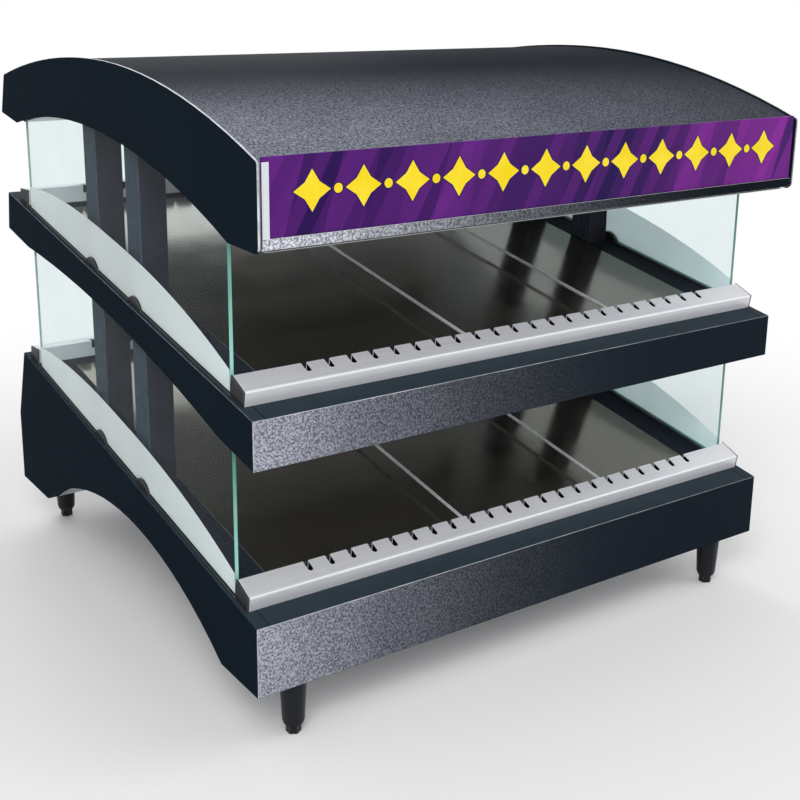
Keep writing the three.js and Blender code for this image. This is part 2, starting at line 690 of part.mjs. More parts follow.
// Assembly: what comes in pairs, left and right
for (const [handName, hand] of hands) {
  addPiece(`base_side_${handName}`, baseSide(hand), finishes.smoothBlack);
  addPiece(`shelf_side_${handName}`, shelfSide(hand), finishes.smoothBlack);
  addPiece(`canopy_side_${handName}`, canopySide(hand), finishes.smoothBlack);
  addPiece(`lower_glass_${handName}`, lowerGlass(hand), finishes.clearGlass);
  addPiece(`upper_glass_${handName}`, upperGlass(hand), finishes.clearGlass);
  addPiece(`lower_glass_retainer_${handName}`, glassRetainer(hand), finishes.trimBlack, lowerGroup);
  addPiece(`upper_glass_retainer_${handName}`, glassRetainer(hand), finishes.trimBlack, upperGroup);
  for (const [placeName, y] of postPlaces) {
    addPiece(`post_${placeName}_${handName}`, hollowPost(hand, y), finishes.postGrey);
  }
  for (const [placeName, y] of [['front', leg.frontSetback], ['rear', baseDepth - leg.rearSetback]]) {
    const x = hand * (halfWidth - leg.inset);
    const standing = addPiece(`leg_${placeName}_${handName}`, legBody(), finishes.trimBlack);
    standing.position.set(x, y, foot.height + foot.neck);
    addPiece(`foot_${placeName}_${handName}`, legFoot(), finishes.trimBlack).position.set(x, y, 0);
  }
}

// Assembly: rails and divider rods of both shelves
for (const [levelName, group] of [['lower', lowerGroup], ['upper', upperGroup]]) {
  addPiece(`${levelName}_rail_front`, notchedRail(false), finishes.brightRail, group);
  addPiece(`${levelName}_rail_rear`, notchedRail(true), finishes.brightRail, group);
  rod.dividerNotches.forEach((index, i) => {
    addPiece(`${levelName}_divider_rod_${i + 1}`, dividerRod(notchX(index)), finishes.wire, group);
  });
}

// Assembly: controls and cord gland
for (const [name, x] of knobPlaces) {
  addPiece(name, knobBody(), finishes.trimBlack, controlGroup).position.set(x, 0, 0);
}
for (const [name, x] of switchPlaces) {
  addPiece(name, rockerBody(), finishes.trimBlack, controlGroup).position.set(x, 0, -rocker.pivotDepth);
}
const glandHeight = gland.nut + gland.barrel;
addPiece('cord_gland', cordGland(), finishes.trimBlack)
  .position.set(gland.atX, baseDepth - base.rearFoot / 2, legHeight - clearance - glandHeight);

// The origin is the middle of the footprint, on the counter
const reach = new THREE.Box3().setFromObject(cabinet);
cabinet.position.set(-(reach.min.x + reach.max.x) / 2, -(reach.min.y + reach.max.y) / 2, -reach.min.z);

export default cabinet;
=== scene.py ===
# %% [markdown]
# # A heated pass-through merchandiser
#
# This file dresses the CAD model of a counter-top food warmer for its picture: a base and a middle
# shelf that slope towards the customer, four posts, glass sides and a curved canopy with a sign.
# Its nodes stay where they are, and the pieces made here are laid over them, so that every joint
# still moves what it should.

import json
import math
from contextlib import contextmanager

import bmesh
import bpy
from mathutils import Matrix, Vector

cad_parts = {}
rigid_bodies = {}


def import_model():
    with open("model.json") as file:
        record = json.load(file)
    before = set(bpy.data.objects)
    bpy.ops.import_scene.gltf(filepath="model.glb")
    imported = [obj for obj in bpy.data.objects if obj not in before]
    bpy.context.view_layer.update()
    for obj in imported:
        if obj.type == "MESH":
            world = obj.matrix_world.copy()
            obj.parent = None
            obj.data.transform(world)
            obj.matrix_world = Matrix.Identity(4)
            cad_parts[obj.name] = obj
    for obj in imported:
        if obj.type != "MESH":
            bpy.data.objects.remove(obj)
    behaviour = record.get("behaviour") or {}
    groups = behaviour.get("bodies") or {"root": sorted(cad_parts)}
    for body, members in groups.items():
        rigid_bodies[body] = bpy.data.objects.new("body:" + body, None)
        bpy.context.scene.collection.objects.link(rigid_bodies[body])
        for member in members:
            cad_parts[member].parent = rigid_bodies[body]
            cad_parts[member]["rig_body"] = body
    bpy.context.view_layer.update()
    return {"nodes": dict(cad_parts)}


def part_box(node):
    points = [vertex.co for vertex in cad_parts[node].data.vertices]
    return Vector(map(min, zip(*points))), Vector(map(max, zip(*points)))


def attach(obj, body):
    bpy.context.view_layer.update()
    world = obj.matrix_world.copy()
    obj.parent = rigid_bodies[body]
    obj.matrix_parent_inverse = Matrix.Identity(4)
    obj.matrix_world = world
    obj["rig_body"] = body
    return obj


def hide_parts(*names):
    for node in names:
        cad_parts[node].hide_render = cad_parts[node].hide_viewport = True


MM = 0.001
SIDES = ("left", "right")
ENDS = ("front", "rear")
CORNERS = [f"{end}_{side}" for end in ENDS for side in SIDES]
scene = bpy.context.scene
for left_over in list(bpy.data.objects):
    bpy.data.objects.remove(left_over)
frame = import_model()
nodes = frame["nodes"]

# %% [markdown]
# ## Camera first
#
# A camera is a lens, a place and three directions. The photograph was taken from the front left,
# a little above the top shelf. The place and the turns were found by fitting corners of the cabinet
# to the picture: yaw from +Y towards +X, pitch downwards, then roll. The lens is shifted a little, as
# a view camera's would be, which keeps the upright edges nearly upright.

# %% Camera
def link(name, data):
    made = bpy.data.objects.new(name, data)
    scene.collection.objects.link(made)
    return made


def moved(x, y, z):
    return Matrix.Translation((x, y, z))


def turned(axis, degrees):
    return Matrix.Rotation(math.radians(degrees), 4, axis)


YAW, PITCH, ROLL = 34.74, 15.1, 0.64
camera = link("camera", bpy.data.cameras.new("camera"))
camera.data.sensor_width = 36.0
camera.data.lens = 56.97
camera.data.shift_y = -0.10
facing = turned("Z", -YAW) @ turned("X", 90 - PITCH) @ turned("Z", ROLL)
camera.matrix_world = moved(-1.1160, -1.6809, 0.9554) @ facing
scene.camera = camera
scene.view_settings.view_transform = "Standard"
print("camera at", [round(v, 3) for v in camera.location])

# %% [markdown]
# ## Node trees in words
#
# Light, finishes and repeated shapes are all node trees. Written with one word for each node, a tree
# reads like a sum. Each word adds its node, fills the inputs and hands back the output.

# %% Words for any tree
class Words:
    """A node tree that is written in words."""

    def __init__(self, tree):
        self.tree = tree

    def node(self, kind, inputs=(), **settings):
        """Adds a node, sets its properties, and fills its inputs with numbers, a link or a list of links."""
        made = self.tree.nodes.new(kind)
        for key, value in settings.items():
            setattr(made, key, value)
        for key, value in dict(inputs).items():
            if isinstance(value, bpy.types.NodeSocket):
                value = [value]
            if isinstance(value, list):
                for source in value:
                    self.tree.links.new(source, made.inputs[key])
            else:
                made.inputs[key].default_value = value
        return made

    def out(self, kind, inputs=(), **settings):
        return self.node(kind, inputs, **settings).outputs[0]

    def maths(self, operation, first, second):
        return self.out("ShaderNodeMath", {0: first, 1: second}, operation=operation)

    def times(self, first, second):
        return self.maths("MULTIPLY", first, second)

    def plus(self, first, second):
        return self.maths("ADD", first, second)

    def minus(self, first, second):
        return self.maths("SUBTRACT", first, second)

    def seen_rays(self):
        """1 for rays from the camera, mirrors and glass, and 0 for light that falls on things."""
        rays = self.tree.nodes.new("ShaderNodeLightPath").outputs
        some = self.maths("MAXIMUM", rays["Is Camera Ray"], rays["Is Glossy Ray"])
        return self.maths("MAXIMUM", some, rays["Is Transmission Ray"])


# %% [markdown]
# ## Light
#
# Product pictures use a big soft light above the front left, a weaker one at the right and a bright
# room all round. The room lights the object at a moderate level, but what the camera, the metal and
# the glass see of it is plain white. A Light Path node tells the two apart.

# %% World and lamps
ROOM_LIGHT = 0.62
WHITE = (1.0, 1.0, 1.0, 1.0)
world = bpy.data.worlds.new("studio")
scene.world = world
world.use_nodes = True
sky = Words(world.node_tree)
background = sky.tree.nodes["Background"].inputs
strength = sky.out("ShaderNodeMapRange", {"Value": sky.seen_rays(), "To Min": ROOM_LIGHT, "To Max": 1.0})
sky.tree.links.new(strength, background["Strength"])
background["Color"].default_value = WHITE

MIDDLE = Vector((0.0, 0.0, 0.45))
LAMPS = {"key": ((-1.9, -2.3, 2.6), 1.6, 52.0), "fill": ((2.4, -1.6, 1.6), 2.0, 19.0),
         "back": ((0.6, 2.4, 2.2), 2.0, 22.0)}
for name, (place, size, power) in LAMPS.items():
    lamp = link(name, bpy.data.lights.new(name, "AREA"))
    lamp.data.size, lamp.data.energy = size, power
    lamp.location = place
    lamp.rotation_euler = (MIDDLE - Vector(place)).to_track_quat("-Z", "Y").to_euler()
print("lamps:", list(LAMPS))

# %% [markdown]
# ## Finishes
#
# Every finish is a small recipe of noise patterns on Object coordinates, so it doesn't depend on how
# a mesh is cut up. Its words are a grain, a change of range, a mix of two colours and a relief.
# Colours are paint chips, three numbers up to 255. Noise lies mostly between 0.3 and 0.7, so one word
# spreads just that part over the range that is wanted.

# %% Words for finishes
def chip(*channels):
    """The linear colour of a paint chip whose channels are read as 0 to 255."""
    shares = [channel / 255 for channel in channels]
    return (*[s / 12.92 if s <= 0.04045 else ((s + 0.055) / 1.055) ** 2.4 for s in shares], 1.0)


class Recipe(Words):
    """A finish in the making: a material with its main shader and its Object coordinates."""

    def __init__(self, name):
        self.finish = bpy.data.materials.new(name)
        self.finish.use_nodes = True
        super().__init__(self.finish.node_tree)
        self.place = self.tree.nodes.new("ShaderNodeTexCoord").outputs["Object"]
        self.shader = self.tree.nodes["Principled BSDF"]

    def axis(self, number):
        return self.node("ShaderNodeSeparateXYZ", {0: self.place}).outputs[number]

    def grain(self, size, detail=2.0, stretch=(1.0, 1.0, 1.0), roughness=0.5):
        """Noise whose grains are about size metres across, drawn out along an axis by stretch."""
        scaled = self.out("ShaderNodeMapping", {"Vector": self.place, "Scale": tuple(1 / s for s in stretch)})
        return self.out("ShaderNodeTexNoise", {
            "Vector": scaled, "Scale": 1 / size, "Detail": detail, "Roughness": roughness})

    def ranged(self, value, low, high, to_low=0.0, to_high=1.0, way="LINEAR"):
        """The value's range from low to high, spread over another range."""
        return self.out("ShaderNodeMapRange", {
            "Value": value, "From Min": low, "From Max": high, "To Min": to_low, "To Max": to_high},
            interpolation_type=way)

    def spread(self, noise, to_low=0.0, to_high=1.0):
        return self.ranged(noise, 0.3, 0.7, to_low, to_high)

    def mix(self, share, first, second):
        """A colour between two others, each a paint chip or a socket."""
        first, second = (c if isinstance(c, bpy.types.NodeSocket) else chip(*c) for c in (first, second))
        return self.node("ShaderNodeMix", {0: share, 6: first, 7: second}, data_type="RGBA").outputs[2]

    def done(self, colour, roughness, relief=None, depth=0.0001, **fixed):
        """Plugs the recipe into its shader. Fixed numbers go on the shader's own sockets."""
        self.tree.links.new(colour, self.shader.inputs["Base Color"])
        self.tree.links.new(roughness, self.shader.inputs["Roughness"])
        if relief is not None:
            bump = self.out("ShaderNodeBump", {"Strength": 1.0, "Distance": depth, "Height": relief})
            self.tree.links.new(bump, self.shader.inputs["Normal"])
        for name, value in fixed.items():
            self.shader.inputs[name.replace("_", " ")].default_value = value
        return self.finish

    def laid_over(self, share, second):
        """Mixes a second shader over the main one."""
        mixed = self.out("ShaderNodeMixShader", {0: share, 1: self.shader.outputs[0], 2: second})
        self.tree.links.new(mixed, self.tree.nodes["Material Output"].inputs["Surface"])
        return self.finish


# %% [markdown]
# ### Floor
#
# The floor is a wide pale disc. Near the object it is lit like any surface, so it keeps the soft
# shadow. Further out it turns into plain white, so that no horizon shows.

# %% Floor
@contextmanager
def opened(mesh):
    """A mesh's points and faces, open for work and put back afterwards."""
    shell = bmesh.new()
    shell.from_mesh(mesh)
    yield shell
    shell.to_mesh(mesh)
    shell.free()


def painted(mesh, *finishes):
    for finish in finishes:
        mesh.materials.append(finish)
    return mesh


FLOOR_REACH, LIT_REACH, WHITE_REACH = 9.0, 0.75, 1.9
pale = Recipe("pale floor")
for name, value in (("Base Color", (0.93, 0.93, 0.93, 1.0)), ("Roughness", 0.8), ("Specular IOR Level", 0.1)):
    pale.shader.inputs[name].default_value = value
distance = pale.node("ShaderNodeVectorMath", {0: pale.place}, operation="LENGTH").outputs["Value"]
fade = pale.ranged(distance, LIT_REACH, WHITE_REACH, way="SMOOTHSTEP")
glow = pale.out("ShaderNodeEmission", {"Color": WHITE, "Strength": 1.0})
floor = link("floor", bpy.data.meshes.new("floor"))
with opened(floor.data) as disc:
    bmesh.ops.create_circle(disc, cap_ends=True, segments=96, radius=FLOOR_REACH)
painted(floor.data, pale.laid_over(pale.times(fade, pale.seen_rays()), glow))
print("floor radius", FLOOR_REACH)

# %% [markdown]
# ### Hammertone powder coat with painted sheen
#
# The fascias and the canopy carry a coat of dark navy with pale metallic flecks about 3 mm across, which
# stand up a fifth of a millimetre. How strongly the flecks show is painted sheen: they are painted strong at
# the left and fade quickly towards the right, and on the canopy also towards the crest, with a little painted
# sheen again at the rear. A power of the place along X, times a range along Y, gives the fleck's share.

# %% Hammertone
COAT_GLOSS = 0.015
HALF_WIDTH = 0.457


def hammertone(name, dark, pale, left_sheen, right_sheen, sheen_falloff=1.0, crest_sheen=None, gloss=COAT_GLOSS):
    coat = Recipe(name)
    flecks = coat.grain(0.0030, detail=2.5, roughness=0.65)
    clouds = coat.grain(0.09)
    # Painted sheen: the flecks' share falls from the left end to the right, and on the canopy from the front
    # to the crest.
    sheen_leftness = coat.ranged(coat.axis(0), HALF_WIDTH, -HALF_WIDTH)
    share = coat.ranged(coat.maths("POWER", sheen_leftness, sheen_falloff), 0.0, 1.0, right_sheen, left_sheen)
    if crest_sheen is not None:
        along = coat.axis(1)
        front = coat.ranged(along, -0.41, -0.13, 1.0, crest_sheen, "SMOOTHSTEP")
        rear = coat.ranged(along, 0.06, 0.40, 0.0, 4 * crest_sheen, "SMOOTHSTEP")
        share = coat.times(share, coat.plus(front, rear))
    share = coat.times(share, coat.spread(clouds, 0.92, 1.08))
    fleck = coat.plus(coat.ranged(flecks, 0.40, 0.62), 0.35)
    ground = coat.mix(coat.times(share, fleck), dark, pale)
    return coat.done(ground, coat.spread(flecks, 0.42, 0.6), flecks, 0.0002, Specular_IOR_Level=gloss)


# The fascia, canopy, channel and deck coats carry painted sheen that fades from left to right; the posts'
# coat is even.
front_hammertone_and_sheen = hammertone("front hammertone", (22, 30, 39), (178, 180, 194), 0.85, 0.0, 4.2)
canopy_hammertone_and_sheen = hammertone("canopy hammertone", (17, 25, 33), (176, 181, 196), 0.50, 0.11,
                               crest_sheen=0.04, gloss=0.003)
channel_hammertone_and_sheen = hammertone("channel hammertone", (14, 21, 28), (222, 226, 236), 0.9, 0.0, 3.2)
post_hammertone = hammertone("post hammertone", (34, 41, 50), (86, 93, 106), 0.5, 0.5)
deck_enamel_and_sheen = hammertone("deck enamel", (20, 26, 35), (84, 90, 104), 0.20, 0.12)
print("hammertone finishes:", [m.name for m in bpy.data.materials if "hammertone" in m.name])

# %% [markdown]
# ### Smooth powder coat and its painted edge highlight
#
# The side panels are smooth and nearly black, with a navy cast. Where a panel is folded, the coat is thin and
# the fold catches the light, so each bevel gets a paler finish of its own: a painted highlight, with patches
# of thinner, worn coat in it. A bevel modifier can hand its new faces to a second material slot, which is how
# that edge is painted. The highlight on the fold between two outer faces is painted light at the left and
# grey at the right, and the lower folds get a dark fold colour as painted shade.

# %% Smooth coats
def smooth_coat(name, colour, pale, mottle=0.5, roughness=(0.46, 0.58), gloss=COAT_GLOSS):
    coat = Recipe(name)
    peel = coat.grain(0.0016, detail=1.0)
    mottles = coat.grain(0.035, detail=3.0)
    ground = coat.mix(coat.ranged(mottles, 0.35, 0.75, 0.0, mottle), colour, pale)
    ground = coat.mix(coat.ranged(peel, 0.55, 0.8, 0.0, 0.25), ground, pale)
    return coat.done(ground, coat.spread(mottles, *roughness), peel, 0.00003, Specular_IOR_Level=gloss)


side_black = smooth_coat("side black", (16, 26, 35), (22, 33, 43), 0.4, gloss=0.004)
rear_black = smooth_coat("rear black", (20, 29, 37), (30, 40, 49), 0.45, (0.4, 0.5), 0.07)
ledge_coat = smooth_coat("ledge coat", (45, 56, 64), (54, 65, 73))
post_grey = smooth_coat("post grey", (46, 47, 56), (58, 59, 69), 0.6)
trim_black = smooth_coat("trim black", (24, 25, 28), (42, 43, 47), 0.4, (0.38, 0.52), 0.15)
leg_black = smooth_coat("leg black", (16, 19, 24), (34, 38, 46), 0.5, (0.30, 0.44), 0.2)
# The soft edge and the plastic edge are painted highlights on rounded edges; the dark fold is painted shade
# on lower folds and a dark joint at seams.
soft_edge_highlight = smooth_coat("soft edge", (60, 66, 75), (96, 102, 112), 0.9)
seam_and_shade_fold = smooth_coat("dark fold", (14, 21, 28), (26, 34, 42), 0.5)
plastic_edge_highlight = smooth_coat("plastic edge", (62, 64, 68), (96, 98, 104), 0.8, (0.3, 0.4), 0.4)

# The fold's finish is a painted highlight, painted pale at the left and grey at the right, with patches of
# thick and thin coat.
fold = Recipe("worn edge")
patches = fold.grain(0.012, detail=3.0, stretch=(3.0, 1.0, 1.0))
across = fold.ranged(fold.axis(0), -HALF_WIDTH, HALF_WIDTH)
thick = fold.mix(across, (168, 172, 180), (88, 94, 102))
thin = fold.mix(across, (214, 217, 223), (118, 124, 132))
worn = fold.mix(fold.ranged(patches, 0.35, 0.65), thick, thin)
worn_edge_and_highlight = fold.done(worn, fold.spread(patches, 0.36, 0.5), patches, 0.00001, Specular_IOR_Level=0.15)
print("coats end with", worn_edge_and_highlight.name)

# %% [markdown]
# ### Metals
#
# Brushed metal is noise drawn out along the brushing: a stretch of a few hundred to one. It goes
# into the colour a little, and into roughness and relief more. The heated plates are hard-coated
# aluminium, dark, warm grey and glossy enough to mirror what stands over them.

# %% Metals
ALONG_X, ALONG_Y, ALONG_Z = (400.0, 1.0, 1.0), (1.0, 300.0, 1.0), (1.0, 1.0, 300.0)


def brushed(name, colour, pale, along=ALONG_X, line=0.0005, roughness=(0.30, 0.42), metal=1.0, depth=0.00001):
    sheet = Recipe(name)
    lines = sheet.grain(line, stretch=along)
    smudge = sheet.grain(0.05, detail=3.0)
    rough = sheet.plus(sheet.spread(lines, *roughness), sheet.spread(smudge, -0.03, 0.05))
    return sheet.done(sheet.mix(sheet.spread(lines), colour, pale), rough, lines, depth, Metallic=metal)


# The inner rail is a paler, less metallic copy of the bright rail that paints light on the shaded rear rails;
# the rail edge is a painted highlight on folds.
bright_rail = brushed("bright rail", (205, 206, 212), (226, 227, 232), metal=0.3)
lit_rear_rail = brushed("inner rail", (238, 238, 242), (250, 250, 252), metal=0.0)
rail_edge_highlight = brushed("rail edge", (218, 221, 226), (234, 236, 240), metal=0.1)
bare_steel = brushed("bare steel", (150, 152, 156), (182, 184, 188), metal=0.9)
wire_steel = brushed("wire steel", (226, 226, 230), (246, 246, 248), ALONG_Y, 0.0003, (0.22, 0.32), 0.45)
strip_silver = brushed("strip silver", (196, 199, 207), (228, 230, 236), ALONG_Z, metal=0.3)
heated_plate = brushed("heated plate", (92, 88, 80), (104, 100, 91), ALONG_Y, 0.0006, (0.12, 0.16), 0.85,
                       depth=0.000001)
plate_edge = brushed("plate edge", (150, 148, 140), (196, 194, 186), roughness=(0.25, 0.35))
foot_steel = brushed("foot steel", (58, 60, 66), (88, 90, 98), (1.0, 1.0, 40.0), 0.0004)
screw_steel = brushed("screw steel", (120, 122, 128), (168, 170, 176), (1.0, 1.0, 1.0), 0.0008)
print("metals end with", screw_steel.name)

# %% [markdown]
# ### Glass and its frosted film
#
# Clear glass has a faint green-grey tint, and its cut edges look green because light runs the long
# way through them: deep green at the top of each pane and mint at its foot, where more light comes
# in. So the faces and the edges are two finishes. A Light Path node lets the lamps' shadow rays
# through, or the space behind the glass would be dark. The film is half translucent, so it looks pale
# from both sides.

# %% Glass
FASCIA_Y = -0.429517
SLOPE_DEGREES = 10
RISE = math.tan(math.radians(SLOPE_DEGREES))
LEVEL_HEIGHTS = {"lower": 0.179, "upper": 0.450}

pane = Recipe("clear glass")
smear = pane.grain(0.06, detail=3.0)
pane.done(pane.mix(pane.spread(smear), (226, 237, 238), (231, 241, 242)), pane.spread(smear, 0.0, 0.015),
          Transmission_Weight=1.0, IOR=1.05)
clear = pane.out("ShaderNodeBsdfTransparent", {"Color": (0.93, 0.97, 0.96, 1.0)})
clear_glass = pane.laid_over(pane.tree.nodes.new("ShaderNodeLightPath").outputs["Is Shadow Ray"], clear)

edge = Recipe("green glass edge")
streak = edge.grain(0.004, stretch=(1.0, 1.0, 12.0))
drop = edge.times(edge.plus(edge.axis(1), -FASCIA_Y), -RISE)
over_foot = edge.plus(edge.plus(edge.axis(2), drop), -LEVEL_HEIGHTS["lower"])
in_pane = edge.maths("MODULO", over_foot, LEVEL_HEIGHTS["upper"] - LEVEL_HEIGHTS["lower"])
up = edge.ranged(in_pane, 0.04, 0.19)
# The right-hand panes' edges are painted darker than the left ones, as painted shade.
left = edge.mix(up, (146, 208, 197), (44, 132, 117))
right = edge.mix(up, (70, 132, 118), (34, 98, 82))
green = edge.mix(edge.ranged(edge.axis(0), -0.1, 0.1), left, right)
green = edge.mix(edge.ranged(edge.axis(1), -0.2, 0.2, 0.0, 0.8), green, (150, 172, 167))
green = edge.mix(edge.ranged(streak, 0.35, 0.65, 0.0, 0.2), green, (176, 214, 206))
green_edge = edge.done(green, edge.spread(streak, 0.12, 0.22), streak, 0.00003, Specular_IOR_Level=0.5)

frost = Recipe("frosted film")
dots = frost.grain(0.0012, detail=1.0)
milk = frost.mix(frost.spread(frost.grain(0.12)), (242, 250, 251), (248, 254, 254))
frost.done(milk, frost.spread(dots, 0.5, 0.65), dots, 0.00002, Alpha=0.77, Specular_IOR_Level=0.2)
frosted_film = frost.laid_over(0.42, frost.out("ShaderNodeBsdfTranslucent", {"Color": milk}))
print("glass finishes:", clear_glass.name, green_edge.name, frosted_film.name)

# %% [markdown]
# ### Sign film
#
# The sign is a printed film: purple at the left, magenta at the right, with faint slanting facets.
# A facet is a band of equal colour. Rounding a slanted coordinate down to whole steps gives each
# band its own number, and White Noise turns the number into a shade.

# %% Sign film
def facet(ink, up, step):
    """A shade from 0 to 1 that is constant over slanting bands."""
    along = {0: ink.place, 1: (1.0 / step, 0.0, up / step)}
    slant = ink.node("ShaderNodeVectorMath", along, operation="DOT_PRODUCT").outputs["Value"]
    number = ink.out("ShaderNodeMath", {0: slant}, operation="FLOOR")
    return ink.node("ShaderNodeTexWhiteNoise", {"W": number}, noise_dimensions="1D").outputs["Value"]


ink = Recipe("sign film")
shade = ink.plus(ink.times(facet(ink, -0.30, 0.052), 0.55), ink.times(facet(ink, -0.55, 0.021), 0.45))
across = ink.ranged(ink.axis(0), 0.0, 0.46, way="SMOOTHSTEP")
deep = ink.mix(across, (16, 3, 64), (48, 4, 88))
light = ink.mix(across, (98, 33, 126), (146, 38, 160))
dots = ink.grain(0.0008, detail=1.0)
sign_film = ink.done(ink.mix(shade, deep, light), ink.spread(dots, 0.34, 0.46), dots, 0.00001,
                     Specular_IOR_Level=0.1)
print_yellow = smooth_coat("print yellow", (236, 206, 20), (248, 226, 70), 0.7, (0.35, 0.45), 0.1)
print_blue = smooth_coat("print blue", (34, 20, 84), (48, 32, 110), 0.5, (0.35, 0.45), 0.1)
mark_white = smooth_coat("mark white", (214, 216, 218), (238, 238, 238), 0.5, (0.4, 0.5), 0.3)
print("prints end with", mark_white.name)

# %% [markdown]
# ### Parts of the heaters and lamps
#
# Under the shelf and the canopy hang a sheathed heating rod and a lamp tube. The rod's sheath is
# steel that has been hot, so it shades between straw and grey-blue along its length. The blanket
# under each plate is rubber over a glass weave, which two crossed wave patterns give.

# %% Heater finishes
sheath = Recipe("heater sheath")
heat = sheath.ranged(sheath.grain(0.06, detail=3.0, stretch=(1.0, 0.3, 0.3)), 0.35, 0.65)
fine = sheath.grain(0.0015)
heater_sheath = sheath.done(sheath.mix(heat, (120, 108, 92), (96, 104, 118)), sheath.spread(fine, 0.34, 0.5),
                            fine, 0.00003, Metallic=0.8)

rubber = Recipe("heater blanket")
waves = [rubber.node("ShaderNodeTexWave", {"Vector": rubber.place, "Scale": 160.0, "Distortion": 0.4},
                     bands_direction=axis).outputs["Fac"] for axis in ("X", "Y")]
weave = rubber.times(*waves)
orange = rubber.mix(weave, (150, 62, 28), (196, 96, 50))
blanket = rubber.done(orange, rubber.ranged(weave, 0.0, 1.0, 0.7, 0.85), weave, 0.0001)
lamp_white = smooth_coat("lamp white", (236, 233, 222), (248, 246, 238), 0.6, (0.12, 0.2), 0.5)
ceramic = smooth_coat("ceramic", (204, 200, 190), (224, 220, 210), 0.8, (0.5, 0.65), 0.4)
print("finishes in all:", len(bpy.data.materials))

# %% [markdown]
# ## Dressing a CAD solid
#
# A CAD node is a heap of loose triangles with knife-sharp edges. Real sheet metal has a small radius
# at each fold, which catches the light. So a copy is welded, its flat triangles are joined into
# faces, and a bevel rounds the edges and hands them to the edge finish. The result is a plain mesh
# that stands for the node.


def plain_mesh(thing):
    return bpy.data.meshes.new_from_object(thing.evaluated_get(bpy.context.evaluated_depsgraph_get()))


def baked(piece):
    """Turns a piece's modifiers into plain mesh."""
    mesh = plain_mesh(piece)
    piece.modifiers.clear()
    piece.data = mesh
    mesh.name = piece.name
    return piece


def welded(node, cut_height=None):
    """A copy of a CAD node's shape with its triangles joined into flat faces, and no stored normals.

    A cut height splits the faces there, so that both sides can be painted differently."""
    source = nodes[node].data
    mesh = bpy.data.meshes.new(node)
    mesh.from_pydata([v.co for v in source.vertices], [], [f.vertices for f in source.polygons])
    with opened(mesh) as shell:
        bmesh.ops.remove_doubles(shell, verts=shell.verts, dist=2e-6)
        bmesh.ops.dissolve_limit(shell, angle_limit=math.radians(0.4), verts=shell.verts, edges=shell.edges)
    if cut_height is not None:
        with opened(mesh) as shell:
            everything = [*shell.verts, *shell.edges, *shell.faces]
            bmesh.ops.bisect_plane(shell, geom=everything, plane_co=(0, 0, cut_height), plane_no=(0, 0, 1))
    return mesh


def rounded(piece, width, segments=2, edge_slot=None, angle=30.0):
    """Rounds a piece's sharp edges, then bakes it."""
    piece.data.shade_smooth()
    bevel = piece.modifiers.new("fold", "BEVEL")
    bevel.limit_method, bevel.angle_limit = "ANGLE", math.radians(angle)
    bevel.width, bevel.segments = width, segments
    bevel.harden_normals = bevel.use_clamp_overlap = True
    if edge_slot is not None:
        bevel.material = edge_slot
    return baked(piece)


def rides(piece, body):
    """The piece moves with a body."""
    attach(piece, body)
    return piece


def stands_for(piece, node):
    """The piece moves with the node's body and replaces it."""
    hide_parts(node)
    return rides(piece, nodes[node]["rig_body"])


def dress(node, suffix, finish, width, edge=None, paint=None, others=(), retouch=None, cut_height=None):
    """Welds, paints and rounds a copy of a node.

    paint picks a slot for a face from its middle and normal, and retouch does so for the narrow
    faces that the rounding adds."""
    mesh = welded(node, cut_height)
    painted(mesh, finish, *([edge] if edge else []), *others)
    for face in mesh.polygons:
        face.material_index = paint(face.center, face.normal) if paint else 0
    piece = rounded(link(f"{node}_{suffix}", mesh), width, edge_slot=1 if edge else None)
    for face in piece.data.polygons:
        if retouch and face.material_index == 1:
            face.material_index = retouch(face.center, face.normal)
    return stands_for(piece, node)


# %% [markdown]
# ## Side panels and fascias
#
# The side panels are pans: a smooth skin with a flange folded inwards. A front fascia is one sheet whose face
# is hammertone and whose ledge, which runs back up the slope to the rail, is smooth. The paint rule tells the
# two apart by the way a face looks. The upper folds and the front corners where two outer faces meet get a
# painted highlight; the other folds stay dark, as dark joints at the seams between sheets and as painted
# shade on the lower folds.

# %% Panels
def ledge_or_face(middle, normal):
    return 2 if normal.z > 0.6 else 0


# Upper folds and front corners get the painted highlight; the other folds get the dark fold: a dark joint at
# seams, painted shade on the lower folds.
def fold_or_seam(middle, normal):
    at_side = abs(normal.x) > 0.2 and abs(middle.x) > HALF_WIDTH - 3 * MM
    upper_fold = normal.z > 0.2 and (normal.y < -0.2 or at_side)
    corner = normal.y < -0.2 and at_side
    return 1 if upper_fold or corner else 3


def plate_rim(middle, normal):
    """The rim of a canopy plate gets a painted highlight on top and in front."""
    return 1 if abs(normal.x) < 0.5 and (normal.z > 0.1 or normal.y < -0.8) else 0


def folded_sheet(node, suffix, finish):
    dress(node, suffix, finish, 0.9 * MM, worn_edge_and_highlight, ledge_or_face, [ledge_coat, seam_and_shade_fold], fold_or_seam)


for side in SIDES:
    folded_sheet(f"base_side_{side}", "panel", side_black)
    folded_sheet(f"shelf_side_{side}", "panel", side_black)
    dress(f"canopy_side_{side}", "plate", side_black, 0.3 * MM, worn_edge_and_highlight, plate_rim, retouch=plate_rim)
folded_sheet("base_front_fascia", "sheet", front_hammertone_and_sheen)
folded_sheet("shelf_front_fascia", "sheet", front_hammertone_and_sheen)
for node in ("base_rear_panel", "shelf_rear_fascia"):
    dress(node, "sheet", rear_black, 0.4 * MM, soft_edge_highlight)
for node in ("base_bottom_pan", "shelf_underside_pan", "canopy_liner"):
    dress(node, "sheet", bare_steel, 0.3 * MM)
print("panels done")

# %% [markdown]
# ## Shapes that grow by rule
#
# A Geometry Nodes tree is a shape's rule with named inputs for its sizes. Every tree ends in real
# geometry with its material, and the object that it grows is baked into plain mesh at once.

